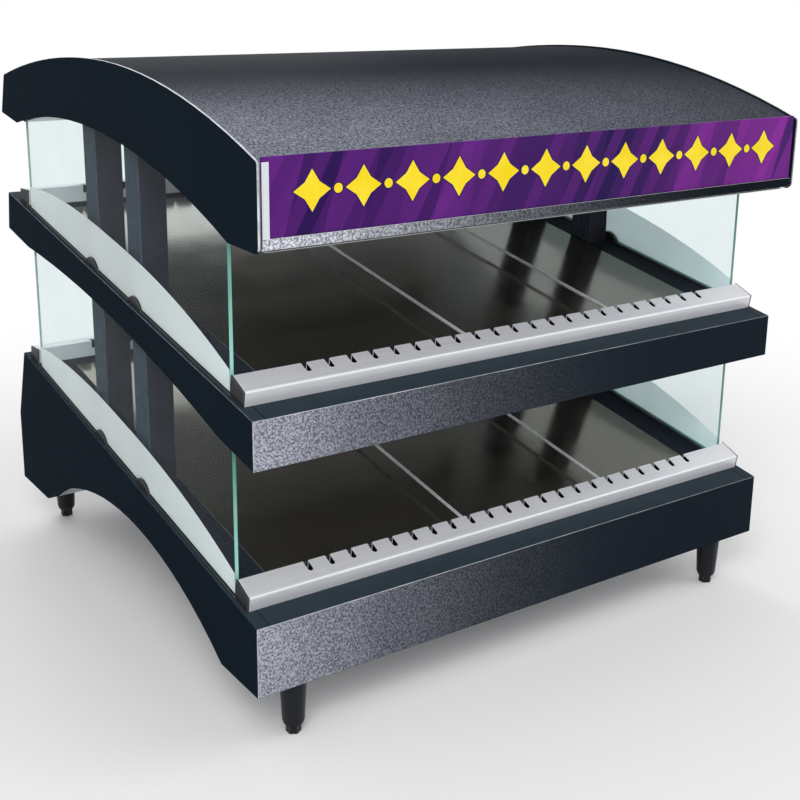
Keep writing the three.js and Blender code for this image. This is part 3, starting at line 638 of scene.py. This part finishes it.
# %% Words for shapes
class Growth(Words):
    """A Geometry Nodes tree that is given a mesh, named sizes with first values, and a material."""

    def __init__(self, name, **sizes):
        super().__init__(bpy.data.node_groups.new(name, "GeometryNodeTree"))
        self.socket("Geometry", "Geometry")
        for label, value in sizes.items():
            kind = {int: "Int", float: "Float", tuple: "Vector"}[type(value)]
            self.socket(label.replace("_", " "), kind).default_value = value
        self.socket("Material", "Material")
        self.socket("Geometry", "Geometry", "OUTPUT")
        self.given = self.tree.nodes.new("NodeGroupInput").outputs
        self.output = self.tree.nodes.new("NodeGroupOutput")

    def socket(self, label, kind, way="INPUT"):
        return self.tree.interface.new_socket(label, in_out=way, socket_type="NodeSocket" + kind)

    def shape(self, kind, inputs=(), **settings):
        return self.out("GeometryNode" + kind, inputs, **settings)

    def vector(self, x=0.0, y=0.0, z=0.0):
        return self.out("ShaderNodeCombineXYZ", {0: x, 1: y, 2: z})

    def row(self, thing, less=0.0):
        """Copies of a thing along X, a Pitch apart and about the middle: Count of them, or less."""
        pitch, count = self.given["Pitch"], self.minus(self.given["Count"], less)
        start = self.vector(self.times(self.times(self.minus(count, 1.0), -0.5), pitch))
        line = self.shape("MeshLine", {"Count": count, "Start Location": start, "Offset": self.vector(pitch)})
        return self.shape("InstanceOnPoints", {"Points": line, "Instance": thing})

    def ended(self, geometry):
        real = self.shape("RealizeInstances", {0: geometry})
        painted = self.shape("SetMaterial", {0: real, "Material": self.given["Material"]})
        self.tree.links.new(painted, self.output.inputs[0])
        return self.tree


def grown(name, tree, start=None, **values):
    """An object that a tree grows from a starting mesh, with the tree's inputs set by identifier."""
    piece = link(name, start or bpy.data.meshes.new(name))
    modifier = piece.modifiers.new("grow", "NODES")
    modifier.node_group = tree
    for socket in tree.interface.items_tree:
        label = socket.name.replace(" ", "_")
        if socket.in_out == "INPUT" and label in values:
            modifier[socket.identifier] = values[label]
    return baked(piece)


# %% [markdown]
# ## Canopy skin
#
# The skin follows a rule: a front arc and a rear arc that share the crown as their highest point,
# then a short straight tail. Each arc is a curve through three points. The joined line is pulled
# sideways into a sheet.

# %% Canopy skin
CANOPY_FOOT, CROWN_BACK, CROWN_RISE = 0.654, 0.445, 0.190
SKIN_RECESS, SKIN_SHEET, SKIN_HALF = 2.5 * MM, 1.2 * MM, 0.4537
NOSE_REACH, TAIL_TOP_BACK, TAIL_BACK, TAIL_RISE = 0.0137, 0.841, 0.864, 0.0815
crown = Vector((0.0, FASCIA_Y + CROWN_BACK, CANOPY_FOOT + CROWN_RISE - SKIN_RECESS))


def skin_radius(run, climb):
    """The radius of an arc that ends level after a run and a climb, less the recess of the skin."""
    return (run * run + climb * climb) / (2 * climb) - SKIN_RECESS


def on_arc(y, radius):
    return Vector((0.0, y, crown.z - radius + math.sqrt(radius * radius - (y - crown.y) ** 2)))


def skin_tree():
    named = ("Nose", "Front_Middle", "Crown", "Rear_Middle", "Tail_Top", "Tail_Bottom")
    sheet = Growth("rolled canopy sheet", **dict.fromkeys(named, (0.0,) * 3), Width=0.9, Steps=48)
    given = sheet.given
    lines = [sheet.shape("CurveArc", {
        "Resolution": given["Steps"], "Start": given[a], "Middle": given[b], "End": given[c]}, mode="POINTS")
        for a, b, c in (("Nose", "Front Middle", "Crown"), ("Crown", "Rear Middle", "Tail Top"))]
    lines.append(sheet.shape("CurvePrimitiveLine", {"Start": given["Tail Top"], "End": given["Tail Bottom"]}))
    edges = sheet.shape("CurveToMesh", {0: sheet.shape("JoinGeometry", {0: lines})})
    joined = sheet.shape("MergeByDistance", {0: edges, "Distance": 1e-5})
    half = sheet.vector(sheet.times(given["Width"], -0.5))
    start = sheet.shape("Transform", {0: joined, "Translation": half})
    across = {0: start, "Offset": sheet.vector(given["Width"]), "Offset Scale": 1.0}
    return sheet.ended(sheet.shape("ExtrudeMesh", across, mode="EDGES"))


front_radius, rear_radius = skin_radius(0.466, 0.085), skin_radius(0.396, 0.047)
nose_y = FASCIA_Y - NOSE_REACH
tail_top = on_arc(FASCIA_Y + TAIL_TOP_BACK - 0.6 * MM, rear_radius)
skin = grown(
    "canopy_skin_sheet", skin_tree(), Nose=on_arc(nose_y, front_radius),
    Front_Middle=on_arc((nose_y + crown.y) / 2, front_radius), Crown=crown,
    Rear_Middle=on_arc((crown.y + tail_top.y) / 2, rear_radius), Tail_Top=tail_top,
    Tail_Bottom=Vector((0.0, FASCIA_Y + TAIL_BACK - 2.2 * MM, CANOPY_FOOT + TAIL_RISE)),
    Width=2 * SKIN_HALF, Steps=40, Material=canopy_hammertone_and_sheen)
print("skin faces", len(skin.data.polygons))

# %% [markdown]
# The tree draws one thin surface. Solidify gives it the thickness of the sheet, inwards, and the
# bevel rounds its rim. The surface has to face outwards first, so its normals are looked at.

# %% Thickness of the skin
with opened(skin.data) as shell:
    bmesh.ops.remove_doubles(shell, verts=shell.verts, dist=1e-6)
    if sum(face.normal.z * face.calc_area() for face in shell.faces) < 0:
        bmesh.ops.reverse_faces(shell, faces=shell.faces)
wall = skin.modifiers.new("sheet", "SOLIDIFY")
wall.thickness, wall.offset = SKIN_SHEET, -1.0
stands_for(rounded(baked(skin), 0.4 * MM, angle=40.0), "canopy_skin")
print("skin box", [round(v, 4) for corner in (skin.bound_box[0], skin.bound_box[6]) for v in corner])

# %% [markdown]
# ## Sign holder and sign
#
# The holder is a folded channel with a lip below and a narrow strip at its left end. The sign slides
# in from above. Its printed ornament is a row of plain lozenges and discs in yellow with a dark blue
# outline, laid on the film as ink is: a tenth of a millimetre high.

# %% Holder and film
LIP_TOP, SIGN_MIDDLE = 0.6712, 0.7215


def strip_or_lip(middle, normal):
    return 2 if middle.z > LIP_TOP else 0


# The holder's folds carry the rail edge's painted highlight, and its lip the channel coat's painted sheen.
dress("sign_holder", "channel", channel_hammertone_and_sheen, 0.5 * MM, rail_edge_highlight, strip_or_lip, [strip_silver],
      cut_height=LIP_TOP)
dress("sign_insert", "film", sign_film, 0.3 * MM)


def ornament_tree():
    band = Growth("row of ornaments", Count=12, Pitch=0.070, Lozenge=0.0248, Disc=0.0058, Outline=0.0,
                  Ink=0.0001)
    given, plus, shape = band.given, band.plus, band.shape
    tip = plus(given["Lozenge"], band.times(given["Outline"], 1.5))
    waist = plus(band.times(given["Lozenge"], 0.56), given["Outline"])
    star = shape("CurveStar", {"Points": 4, "Inner Radius": waist, "Outer Radius": tip})
    disc = shape("CurvePrimitiveCircle", {"Resolution": 40, "Radius": plus(given["Disc"], given["Outline"])})
    star, disc = (shape("FillCurve", {0: curve}, mode="NGONS") for curve in (star, disc))
    both = shape("JoinGeometry", {0: [band.row(star), band.row(disc, less=1.0)]})
    below = shape("RealizeInstances", {0: both})
    lift = {0: below, "Offset": band.vector(z=given["Ink"]), "Offset Scale": 1.0}
    raised = shape("ExtrudeMesh", lift, mode="FACES")
    closed = shape("JoinGeometry", {0: [raised, shape("FlipFaces", {0: below})]})
    return band.ended(shape("MergeByDistance", {0: closed, "Distance": 1e-6}))


ornaments = ornament_tree()
film_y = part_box("sign_insert")[0].y
for part, finish, outline, lift in (
        ("outline", print_blue, 1.6 * MM, 0.0), ("fill", print_yellow, 0.0, 0.09 * MM)):
    piece = grown(f"sign_ornament_{part}", ornaments, Outline=outline, Ink=0.1 * MM, Material=finish)
    piece.data.transform(moved(0, film_y - lift, SIGN_MIDDLE) @ turned("X", 90))
    rides(piece, "sign")
print("sign pieces done")

# %% [markdown]
# ## Posts, decks and heated plates
#
# The four posts are tubes with rounded corners. Each deck is a dark textured frame round a glossy
# plate, whose pad stands half a millimetre proud and shows a thin bright edge all round. A heating
# rod and a lamp are tubes between two ceramic blocks.

# %% Posts, decks, plates
def post_face(middle, normal):
    return 2 if abs(normal.x) > 0.7 else 0


for corner in CORNERS:
    dress(f"post_{corner}", "tube", post_grey, 0.8 * MM, soft_edge_highlight, post_face, [post_hammertone])
for shelf in ("base", "shelf"):
    dress(f"{shelf}_deck", "frame", deck_enamel_and_sheen, 0.3 * MM, soft_edge_highlight)
    dress(f"{shelf}_heated_plate", "pad", heated_plate, 0.4 * MM, plate_edge)
    dress(f"{shelf}_heater_blanket", "mat", blanket, 0.8 * MM)
for kind, finish, tube_half in (("infrared_element", heater_sheath, 0.351), ("lamp", lamp_white, 0.248)):
    for shelf in ("shelf", "canopy"):
        dress(f"{shelf}_{kind}", "tube", finish, 0.5 * MM, ceramic,
              lambda middle, normal: 0 if abs(middle.x) < tube_half else 1)
print("posts, decks and plates done")

# %% [markdown]
# ## Notched rails
#
# A rail is one folded sheet with 22 notches, in which the divider rods sit. The notch repeats, so
# Geometry Nodes cut it: a line of points carries a cutter, and a Boolean takes all of the cutters
# from the bar. A cutter has a round end on the rail's top and a round foot on its inner wall, as a
# punch would leave.

# %% Rail tree
def rail_tree():
    cut = Growth("notched rail", Count=22, Pitch=0.0334, Width=0.008, Reach=0.017, Drop=0.014, Depth=0.033,
                 Inner_Height=0.0285)
    given, plus, minus, overrun, tall = cut.given, cut.plus, cut.minus, 0.006, 0.03
    half = cut.times(given["Width"], 0.5)
    start_y = plus(minus(given["Depth"], given["Reach"]), half)
    end_y = plus(given["Depth"], overrun)
    middle_y = cut.times(plus(start_y, end_y), 0.5)
    foot_z = plus(minus(given["Inner Height"], given["Drop"]), half)
    middle_z = plus(foot_z, tall / 2)
    slot = cut.shape("MeshCube", {"Size": cut.vector(given["Width"], minus(end_y, start_y), tall)})
    bit, foot = (cut.shape("MeshCylinder", {"Vertices": 24, "Radius": half, "Depth": depth})
                 for depth in (tall, 2 * overrun))
    upright, lying = (0.0, 0.0, 0.0), (math.radians(90), 0.0, 0.0)
    punches = [cut.shape("Transform", {0: punch, "Translation": cut.vector(0.0, y, z), "Rotation": turn})
               for punch, y, z, turn in (
                   (slot, middle_y, middle_z, upright), (bit, start_y, middle_z, upright),
                   (foot, given["Depth"], foot_z, lying))]
    rows = [cut.shape("RealizeInstances", {0: cut.row(punch)}) for punch in punches]
    return cut.ended(cut.shape("MeshBoolean", {"Mesh 1": given["Geometry"], "Mesh 2": rows},
                               operation="DIFFERENCE", solver="EXACT"))


# %% [markdown]
# The bar is drawn in the rail's own frame: Y runs inwards from the outer wall and Z stands on the
# deck. It is run along X with a stop between every two notches, so that no face holds more than one.
# The shelf's frame, turned by ten degrees, carries it to its place. The hidden faces of the folded sheet are
# painted black, as painted shade, so they look dark through the notches. A rear rail's top and inner wall
# stand in the shade and get a paler, duller copy of the brushing, which paints light on them.

# %% Rails
def prism(outline, low, high, stops=()):
    """A closed outline in the Y, Z plane, run along X between two places, with stops on the way."""
    mesh = bpy.data.meshes.new("prism")
    with opened(mesh) as shell:
        rings = [[shell.verts.new((x, y, z)) for y, z in outline] for x in (low, *stops, high)]
        shell.faces.new(rings[0])
        shell.faces.new(list(reversed(rings[-1])))
        for here, beyond in zip(rings, rings[1:]):
            for i in range(len(outline)):
                after = (i + 1) % len(outline)
                shell.faces.new((here[i], here[after], beyond[after], beyond[i]))
        bmesh.ops.recalc_face_normals(shell, faces=shell.faces)
    return mesh


shelf_frame = {level: moved(0, FASCIA_Y, height) @ turned("X", SLOPE_DEGREES)
               for level, height in LEVEL_HEIGHTS.items()}
RAIL_DEPTH, RAIL_OUTER, RAIL_INNER, RAIL_WALL, RAIL_GAP = 0.033, 0.0205, 0.0285, 0.0015, 0.0003
RAIL_HALF, NOTCHES, NOTCH_PITCH, BEND = 0.4490, 22, 0.0334, 3.0 * MM
rail_place = {"front": moved(0, 0.036, 0), "rear": moved(0, 0.828, 0) @ turned("Z", 180)}
lean = math.atan2(RAIL_INNER - RAIL_OUTER, RAIL_DEPTH)
climb, sag = RAIL_WALL * math.tan(lean), RAIL_WALL / math.cos(lean)


def bend_points(steps=4):
    """The rounded fold between the rail's front and its top."""
    turn = math.pi / 2 - lean
    centre_z = RAIL_OUTER - BEND * math.tan(turn / 2)
    return [(BEND - BEND * math.cos(turn * i / steps), centre_z + BEND * math.sin(turn * i / steps))
            for i in range(steps + 1)]


bar_outline = [
    (0, RAIL_GAP), *bend_points(), (RAIL_DEPTH, RAIL_INNER), (RAIL_DEPTH, RAIL_GAP),
    (RAIL_DEPTH - RAIL_WALL, RAIL_GAP), (RAIL_DEPTH - RAIL_WALL, RAIL_INNER - climb - sag),
    (RAIL_WALL, RAIL_OUTER + climb - sag), (RAIL_WALL, RAIL_GAP)]
between_notches = [(i - NOTCHES / 2) * NOTCH_PITCH for i in range(NOTCHES + 1)]
notched = rail_tree()


def rail_slot(middle, normal, end):
    """0 is the bright bar, 1 its fold with a painted highlight, 2 the hidden faces in painted shade, and 3
    the paler copy painted on what a rear rail has in the shade.
    """
    near_outer, near_inner = middle.y < 2 * RAIL_WALL, middle.y > RAIL_DEPTH - 2 * RAIL_WALL
    if normal.z < -0.5 or near_outer and normal.y > 0.5 or near_inner and normal.y < -0.5:
        return 2
    if middle.y < BEND and -0.95 < normal.y < -0.28 and normal.z > 0.2:
        return 1
    inner_wall = normal.y > 0.5 and middle.y > RAIL_DEPTH - 0.1 * MM
    return 3 if end == "rear" and (normal.z > 0.3 or inner_wall) else 0


for level in LEVEL_HEIGHTS:
    for end in ENDS:
        blank = prism(bar_outline, -RAIL_HALF, RAIL_HALF, between_notches)
        bar = grown(f"{level}_rail_{end}_bar", notched, blank, Count=NOTCHES, Pitch=NOTCH_PITCH,
                    Material=bright_rail)
        bar.data.materials.clear()
        painted(bar.data, bright_rail, rail_edge_highlight, trim_black, lit_rear_rail)
        for face in bar.data.polygons:
            face.material_index = rail_slot(face.center, face.normal, end)
        facets = len(bar.data.polygons)
        bar.data.transform(shelf_frame[level] @ rail_place[end])
        stands_for(rounded(bar, 0.7 * MM, edge_slot=1), f"{level}_rail_{end}")
print("faces of a cut rail:", facets)

# %% [markdown]
# ## Divider rods
#
# A rod is a bright wire with rounded ends that lies on the foot of two notches. It is a cylinder
# whose ends are bevelled.

# %% Rods
ROD_RADIUS, ROD_START, ROD_END, ROD_HEIGHT = 0.0025, 0.055, 0.809, 0.0173
ROD_NOTCHES = {1: 8, 2: 16}
length = ROD_END - ROD_START
for level in LEVEL_HEIGHTS:
    for number, notch in ROD_NOTCHES.items():
        mesh = bpy.data.meshes.new("bar")
        with opened(mesh) as shell:
            bmesh.ops.create_cone(shell, cap_ends=True, segments=24, radius1=ROD_RADIUS, radius2=ROD_RADIUS,
                                  depth=length)
        mesh.transform(moved(0, length / 2, 0) @ turned("X", -90))
        across = (notch - (NOTCHES - 1) / 2) * NOTCH_PITCH
        mesh.transform(shelf_frame[level] @ moved(across, ROD_START, ROD_HEIGHT))
        node = f"{level}_divider_rod_{number}"
        stands_for(rounded(link(f"{node}_wire", painted(mesh, wire_steel)), 1.2 * MM, 4), node)
print("rods done")

# %% [markdown]
# ## Glass, film and retainers
#
# Each pane keeps its CAD shape. Its big faces are clear and its narrow ones green. On its outer face
# lies a frosted film, whose top edge is a flat arch, highest in the middle of the pane.

# %% Panes and retainers
FILM_START, FILM_END, FILM_FOOT, FILM_REACH = 0.0725, 0.7685, 0.0036, 0.359
FILM_PEAK, FILM_FALL, FILM_CREST, FILM_CURVE = 0.0655, 0.038, 0.430, 2.5
FILM_OUT, FILM_THICK = 0.44906, 0.00012


def pane_face(middle, normal):
    return 0 if abs(normal.x) > 0.9 else 1


def film_mesh(level, hand, steps=60):
    places = [FILM_START + (FILM_END - FILM_START) * i / steps for i in range(steps + 1)]
    foot = shelf_frame[level].translation.z + FILM_FOOT
    low = [(FASCIA_Y + y, foot + y * RISE) for y in places]
    rise = [FILM_PEAK - FILM_FALL * (abs(y - FILM_CREST) / FILM_REACH) ** FILM_CURVE for y in places]
    high = [(y, z + up) for (y, z), up in zip(low, rise)]
    outer, inner = hand * (FILM_OUT + FILM_THICK), hand * FILM_OUT
    return prism(low + high[::-1], min(outer, inner), max(outer, inner))


for level in LEVEL_HEIGHTS:
    for side in SIDES:
        dress(f"{level}_glass_{side}", "pane", clear_glass, 0.4 * MM, green_edge, pane_face)
        dress(f"{level}_glass_retainer_{side}", "strip", trim_black, 0.7 * MM, plastic_edge_highlight)
for level in LEVEL_HEIGHTS:
    for side, hand in zip(SIDES, (-1, 1)):
        film = painted(film_mesh(level, hand), frosted_film)
        rides(link(f"{level}_frosted_film_{side}", film), "cabinet")
print("glass done")

# %% [markdown]
# ## Legs and feet
#
# The legs are tapered, painted black, and end in a small collar. The hexagonal foot below screws in
# and out to level the cabinet.

# %% Legs and feet
for corner in CORNERS:
    dress(f"leg_{corner}", "body", leg_black, 0.7 * MM, soft_edge_highlight)
    dress(f"foot_{corner}", "body", leg_black, 0.6 * MM, foot_steel)
print("legs done")

# %% [markdown]
# ## Controls at the rear
#
# The operator's side carries two knobs and two rocker switches on a slanted panel. They follow common
# practice: a ribbed knob with a white pointer, marks and numbers round it, and a black frame round
# each switch. Ribs and marks go round in a ring, which is one tree with different inputs.

# %% Ring tree and the control panel's frame
def ring_tree():
    ring = Growth("ring of bars", Count=24, Radius=0.018, Start=0.0, Sweep=2 * math.pi, Bar=(0.001,) * 3)
    given, shape = ring.given, ring.shape
    arc = shape("CurveArc", {"Resolution": given["Count"], "Radius": given["Radius"],
                             "Start Angle": given["Start"], "Sweep Angle": given["Sweep"]})
    outwards = ring.out("FunctionNodeAlignRotationToVector", {"Vector": shape("InputPosition")}, axis="Y")
    return ring.ended(shape("InstanceOnPoints", {
        "Points": shape("CurveToPoints", {0: arc}, mode="EVALUATED"),
        "Instance": shape("MeshCube", {"Size": given["Bar"]}), "Rotation": outwards}))


ring = ring_tree()
LEAN_COS, LEAN_SIN, PANEL_Y, PANEL_Z = 0.34159, 0.93986, 0.426517, 0.26553
panel_frame = Matrix((
    (-1.0, 0.0, 0.0, 0.0), (0.0, -LEAN_COS, LEAN_SIN, PANEL_Y), (0.0, LEAN_SIN, LEAN_COS, PANEL_Z),
    (0.0, 0.0, 0.0, 1.0)))


def on_panel(across, up=0.0, out=0.0):
    """A place on the control panel, in millimetres."""
    return panel_frame @ moved(across * MM, up * MM, out * MM)


def whole_ring(name, count, radius, bar, finish):
    """Bars all the way round. The last one stands a step before the first."""
    return grown(name, ring, Count=count, Radius=radius * MM, Sweep=2 * math.pi * (count - 1) / count,
                 Bar=tuple(side * MM for side in bar), Material=finish)


def boxed(low, high, finish):
    """A block between two corners, given in millimetres."""
    (x0, y0, z0), (x1, y1, z1) = ([value * MM for value in corner] for corner in (low, high))
    return painted(prism([(y0, z0), (y1, z0), (y1, z1), (y0, z1)], x0, x1), finish)


# %% Knobs
for node, across in (("base_heat_knob", -45), ("shelf_heat_knob", 45)):
    dress(node, "body", trim_black, 0.6 * MM, plastic_edge_highlight)
    ribs = whole_ring(f"{node}_ribs", 30, 17.7, (1.1, 1.4, 3.2), trim_black)
    ribs.data.transform(on_panel(across, 0, 3.2))
    pointer = link(f"{node}_pointer", boxed((-0.6, 1.5, 18.98), (0.6, 11.4, 19.12), mark_white))
    pointer.data.transform(on_panel(across))
    for piece in (ribs, pointer):
        rides(piece, nodes[node]["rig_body"])
print("knobs done")

# %% Dial marks and numbers
def joined_meshes(name, meshes):
    """One mesh out of several, which keeps what stands in each one's first material slot."""
    finishes = list(dict.fromkeys(mesh.materials[0] for mesh in meshes))
    whole = bpy.data.meshes.new(name)
    with opened(whole) as shell:
        for mesh in meshes:
            start = len(shell.faces)
            shell.from_mesh(mesh)
            shell.faces.ensure_lookup_table()
            for face in shell.faces[start:]:
                face.material_index = finishes.index(mesh.materials[0])
    return painted(whole, *finishes)


def number_mesh(text, size, place):
    curve = bpy.data.curves.new("number", "FONT")
    curve.body, curve.size, curve.extrude = text, size, 0.05 * MM
    curve.align_x = curve.align_y = "CENTER"
    holder = link("number", curve)
    mesh = plain_mesh(holder)
    bpy.data.objects.remove(holder)
    mesh.materials.clear()
    mesh.transform(moved(*place))
    return painted(mesh, mark_white)


MARKS, SWEEP, NUMBER_RING = 10, math.radians(270), 28
for name, across in (("base_heat_dial", -45), ("shelf_heat_dial", 45)):
    marks = grown(f"{name}_marks", ring, Count=MARKS, Radius=22.5 * MM, Start=math.pi / 2 - SWEEP,
                  Sweep=SWEEP, Bar=(0.7 * MM, 3.0 * MM, 0.14 * MM), Material=mark_white)
    numbers = []
    for i in range(MARKS):
        angle = math.pi / 2 - SWEEP * i / (MARKS - 1)
        place = Vector((math.cos(angle), math.sin(angle), 0)) * NUMBER_RING * MM
        numbers.append(number_mesh(str(i), 5.6 * MM, place))
    marks.name = f"{name}_print"
    marks.data = joined_meshes(marks.name, [marks.data, *numbers])
    marks.data.transform(on_panel(across, 0, 0.09))
    rides(marks, "cabinet")
print("dials done")

# %% Switches
WIDE, TALL, HOLE_WIDE, HOLE_TALL, FOOT, RIM = 13.0, 17.5, 9.9, 14.2, 0.05, 1.6
frame_bars = ((-WIDE, WIDE, HOLE_TALL, TALL), (-WIDE, WIDE, -TALL, -HOLE_TALL),
              (-WIDE, -HOLE_WIDE, -HOLE_TALL, HOLE_TALL), (HOLE_WIDE, WIDE, -HOLE_TALL, HOLE_TALL))
for node, across in (("lamp_switch", -135), ("overhead_heat_switch", 135)):
    dress(node, "rocker", trim_black, 0.5 * MM, plastic_edge_highlight)
    bars = [boxed((x0, y0, FOOT), (x1, y1, RIM), trim_black) for x0, x1, y0, y1 in frame_bars]
    bezel = link(f"{node}_bezel", joined_meshes("frame", bars))
    bezel.data.transform(on_panel(across))
    painted(bezel.data, plastic_edge_highlight)
    rides(rounded(bezel, 0.5 * MM, edge_slot=1), "cabinet")
    on = boxed((-0.5, 20.5, 0), (0.5, 25.5, 0.14), mark_white)
    off = whole_ring(f"{node}_marks", 24, 2.4, (0.66, 0.9, 0.14), mark_white)
    off.data.transform(moved(0, -23 * MM, 0.07 * MM))
    off.data = joined_meshes(off.name, [on, off.data])
    off.data.transform(on_panel(across, 0, 0.02))
    rides(off, "cabinet")
print("switches done")

# %% Cord gland
dress("cord_gland", "body", trim_black, 0.6 * MM, plastic_edge_highlight)
low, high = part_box("cord_gland")
middle = (low + high) / 2
grip = whole_ring("cord_gland_grip", 18, 13.9, (1.6, 1.4, 7.5), trim_black)
grip.data.transform(moved(middle.x, middle.y, high.z - 4.75 * MM))
rides(grip, "cabinet")
print("controls done")

# %% [markdown]
# ## Screws
#
# Pan-head screws hold the control panel and the rear fascia of the shelf. One tree sets a row of
# them: a flattened sphere with a cross cut into it, carried along a line of points.

# %% Screws
def screw_tree():
    screw = Growth("row of screws", Count=2, Step=(0.1, 0.0, 0.0), Radius=0.0035)
    given, shape = screw.given, screw.shape
    ball = shape("MeshUVSphere", {"Segments": 28, "Rings": 14, "Radius": given["Radius"]})
    head = shape("Transform", {0: ball, "Scale": (1.0, 1.0, 0.5)})
    slots = [shape("Transform", {0: shape("MeshCube", {"Size": size}), "Translation": (0.0, 0.0, 0.0020)})
             for size in ((0.0044, 0.0008, 0.002), (0.0008, 0.0044, 0.002))]
    cross = shape("MeshBoolean", {"Mesh 1": head, "Mesh 2": slots}, operation="DIFFERENCE", solver="EXACT")
    line = shape("MeshLine", {"Count": given["Count"], "Offset": given["Step"]})
    return screw.ended(shape("InstanceOnPoints", {"Points": line, "Instance": cross}))


screws = screw_tree()
shelf_rear = shelf_frame["upper"] @ moved(0, 0.871, -0.0315) @ turned("X", -90)
for name, where, across, up, step in (
        ("control_panel_screws_top", panel_frame, -0.405, 0.046, 0.27),
        ("control_panel_screws_bottom", panel_frame, -0.405, -0.046, 0.27),
        ("shelf_rear_screws", shelf_rear, -0.42, 0.0, 0.28)):
    row = grown(name, screws, Count=4, Step=(step, 0.0, 0.0), Radius=3.4 * MM, Material=screw_steel)
    row.data.transform(where @ moved(across, up, 0.0))
    row.data.shade_smooth()
    row.data.set_sharp_from_angle(angle=math.radians(40))
    rides(row, "cabinet")
print("screws done")

# %% CAD nodes still shown
print("CAD nodes still shown:", [name for name, node in nodes.items() if not node.hide_render])
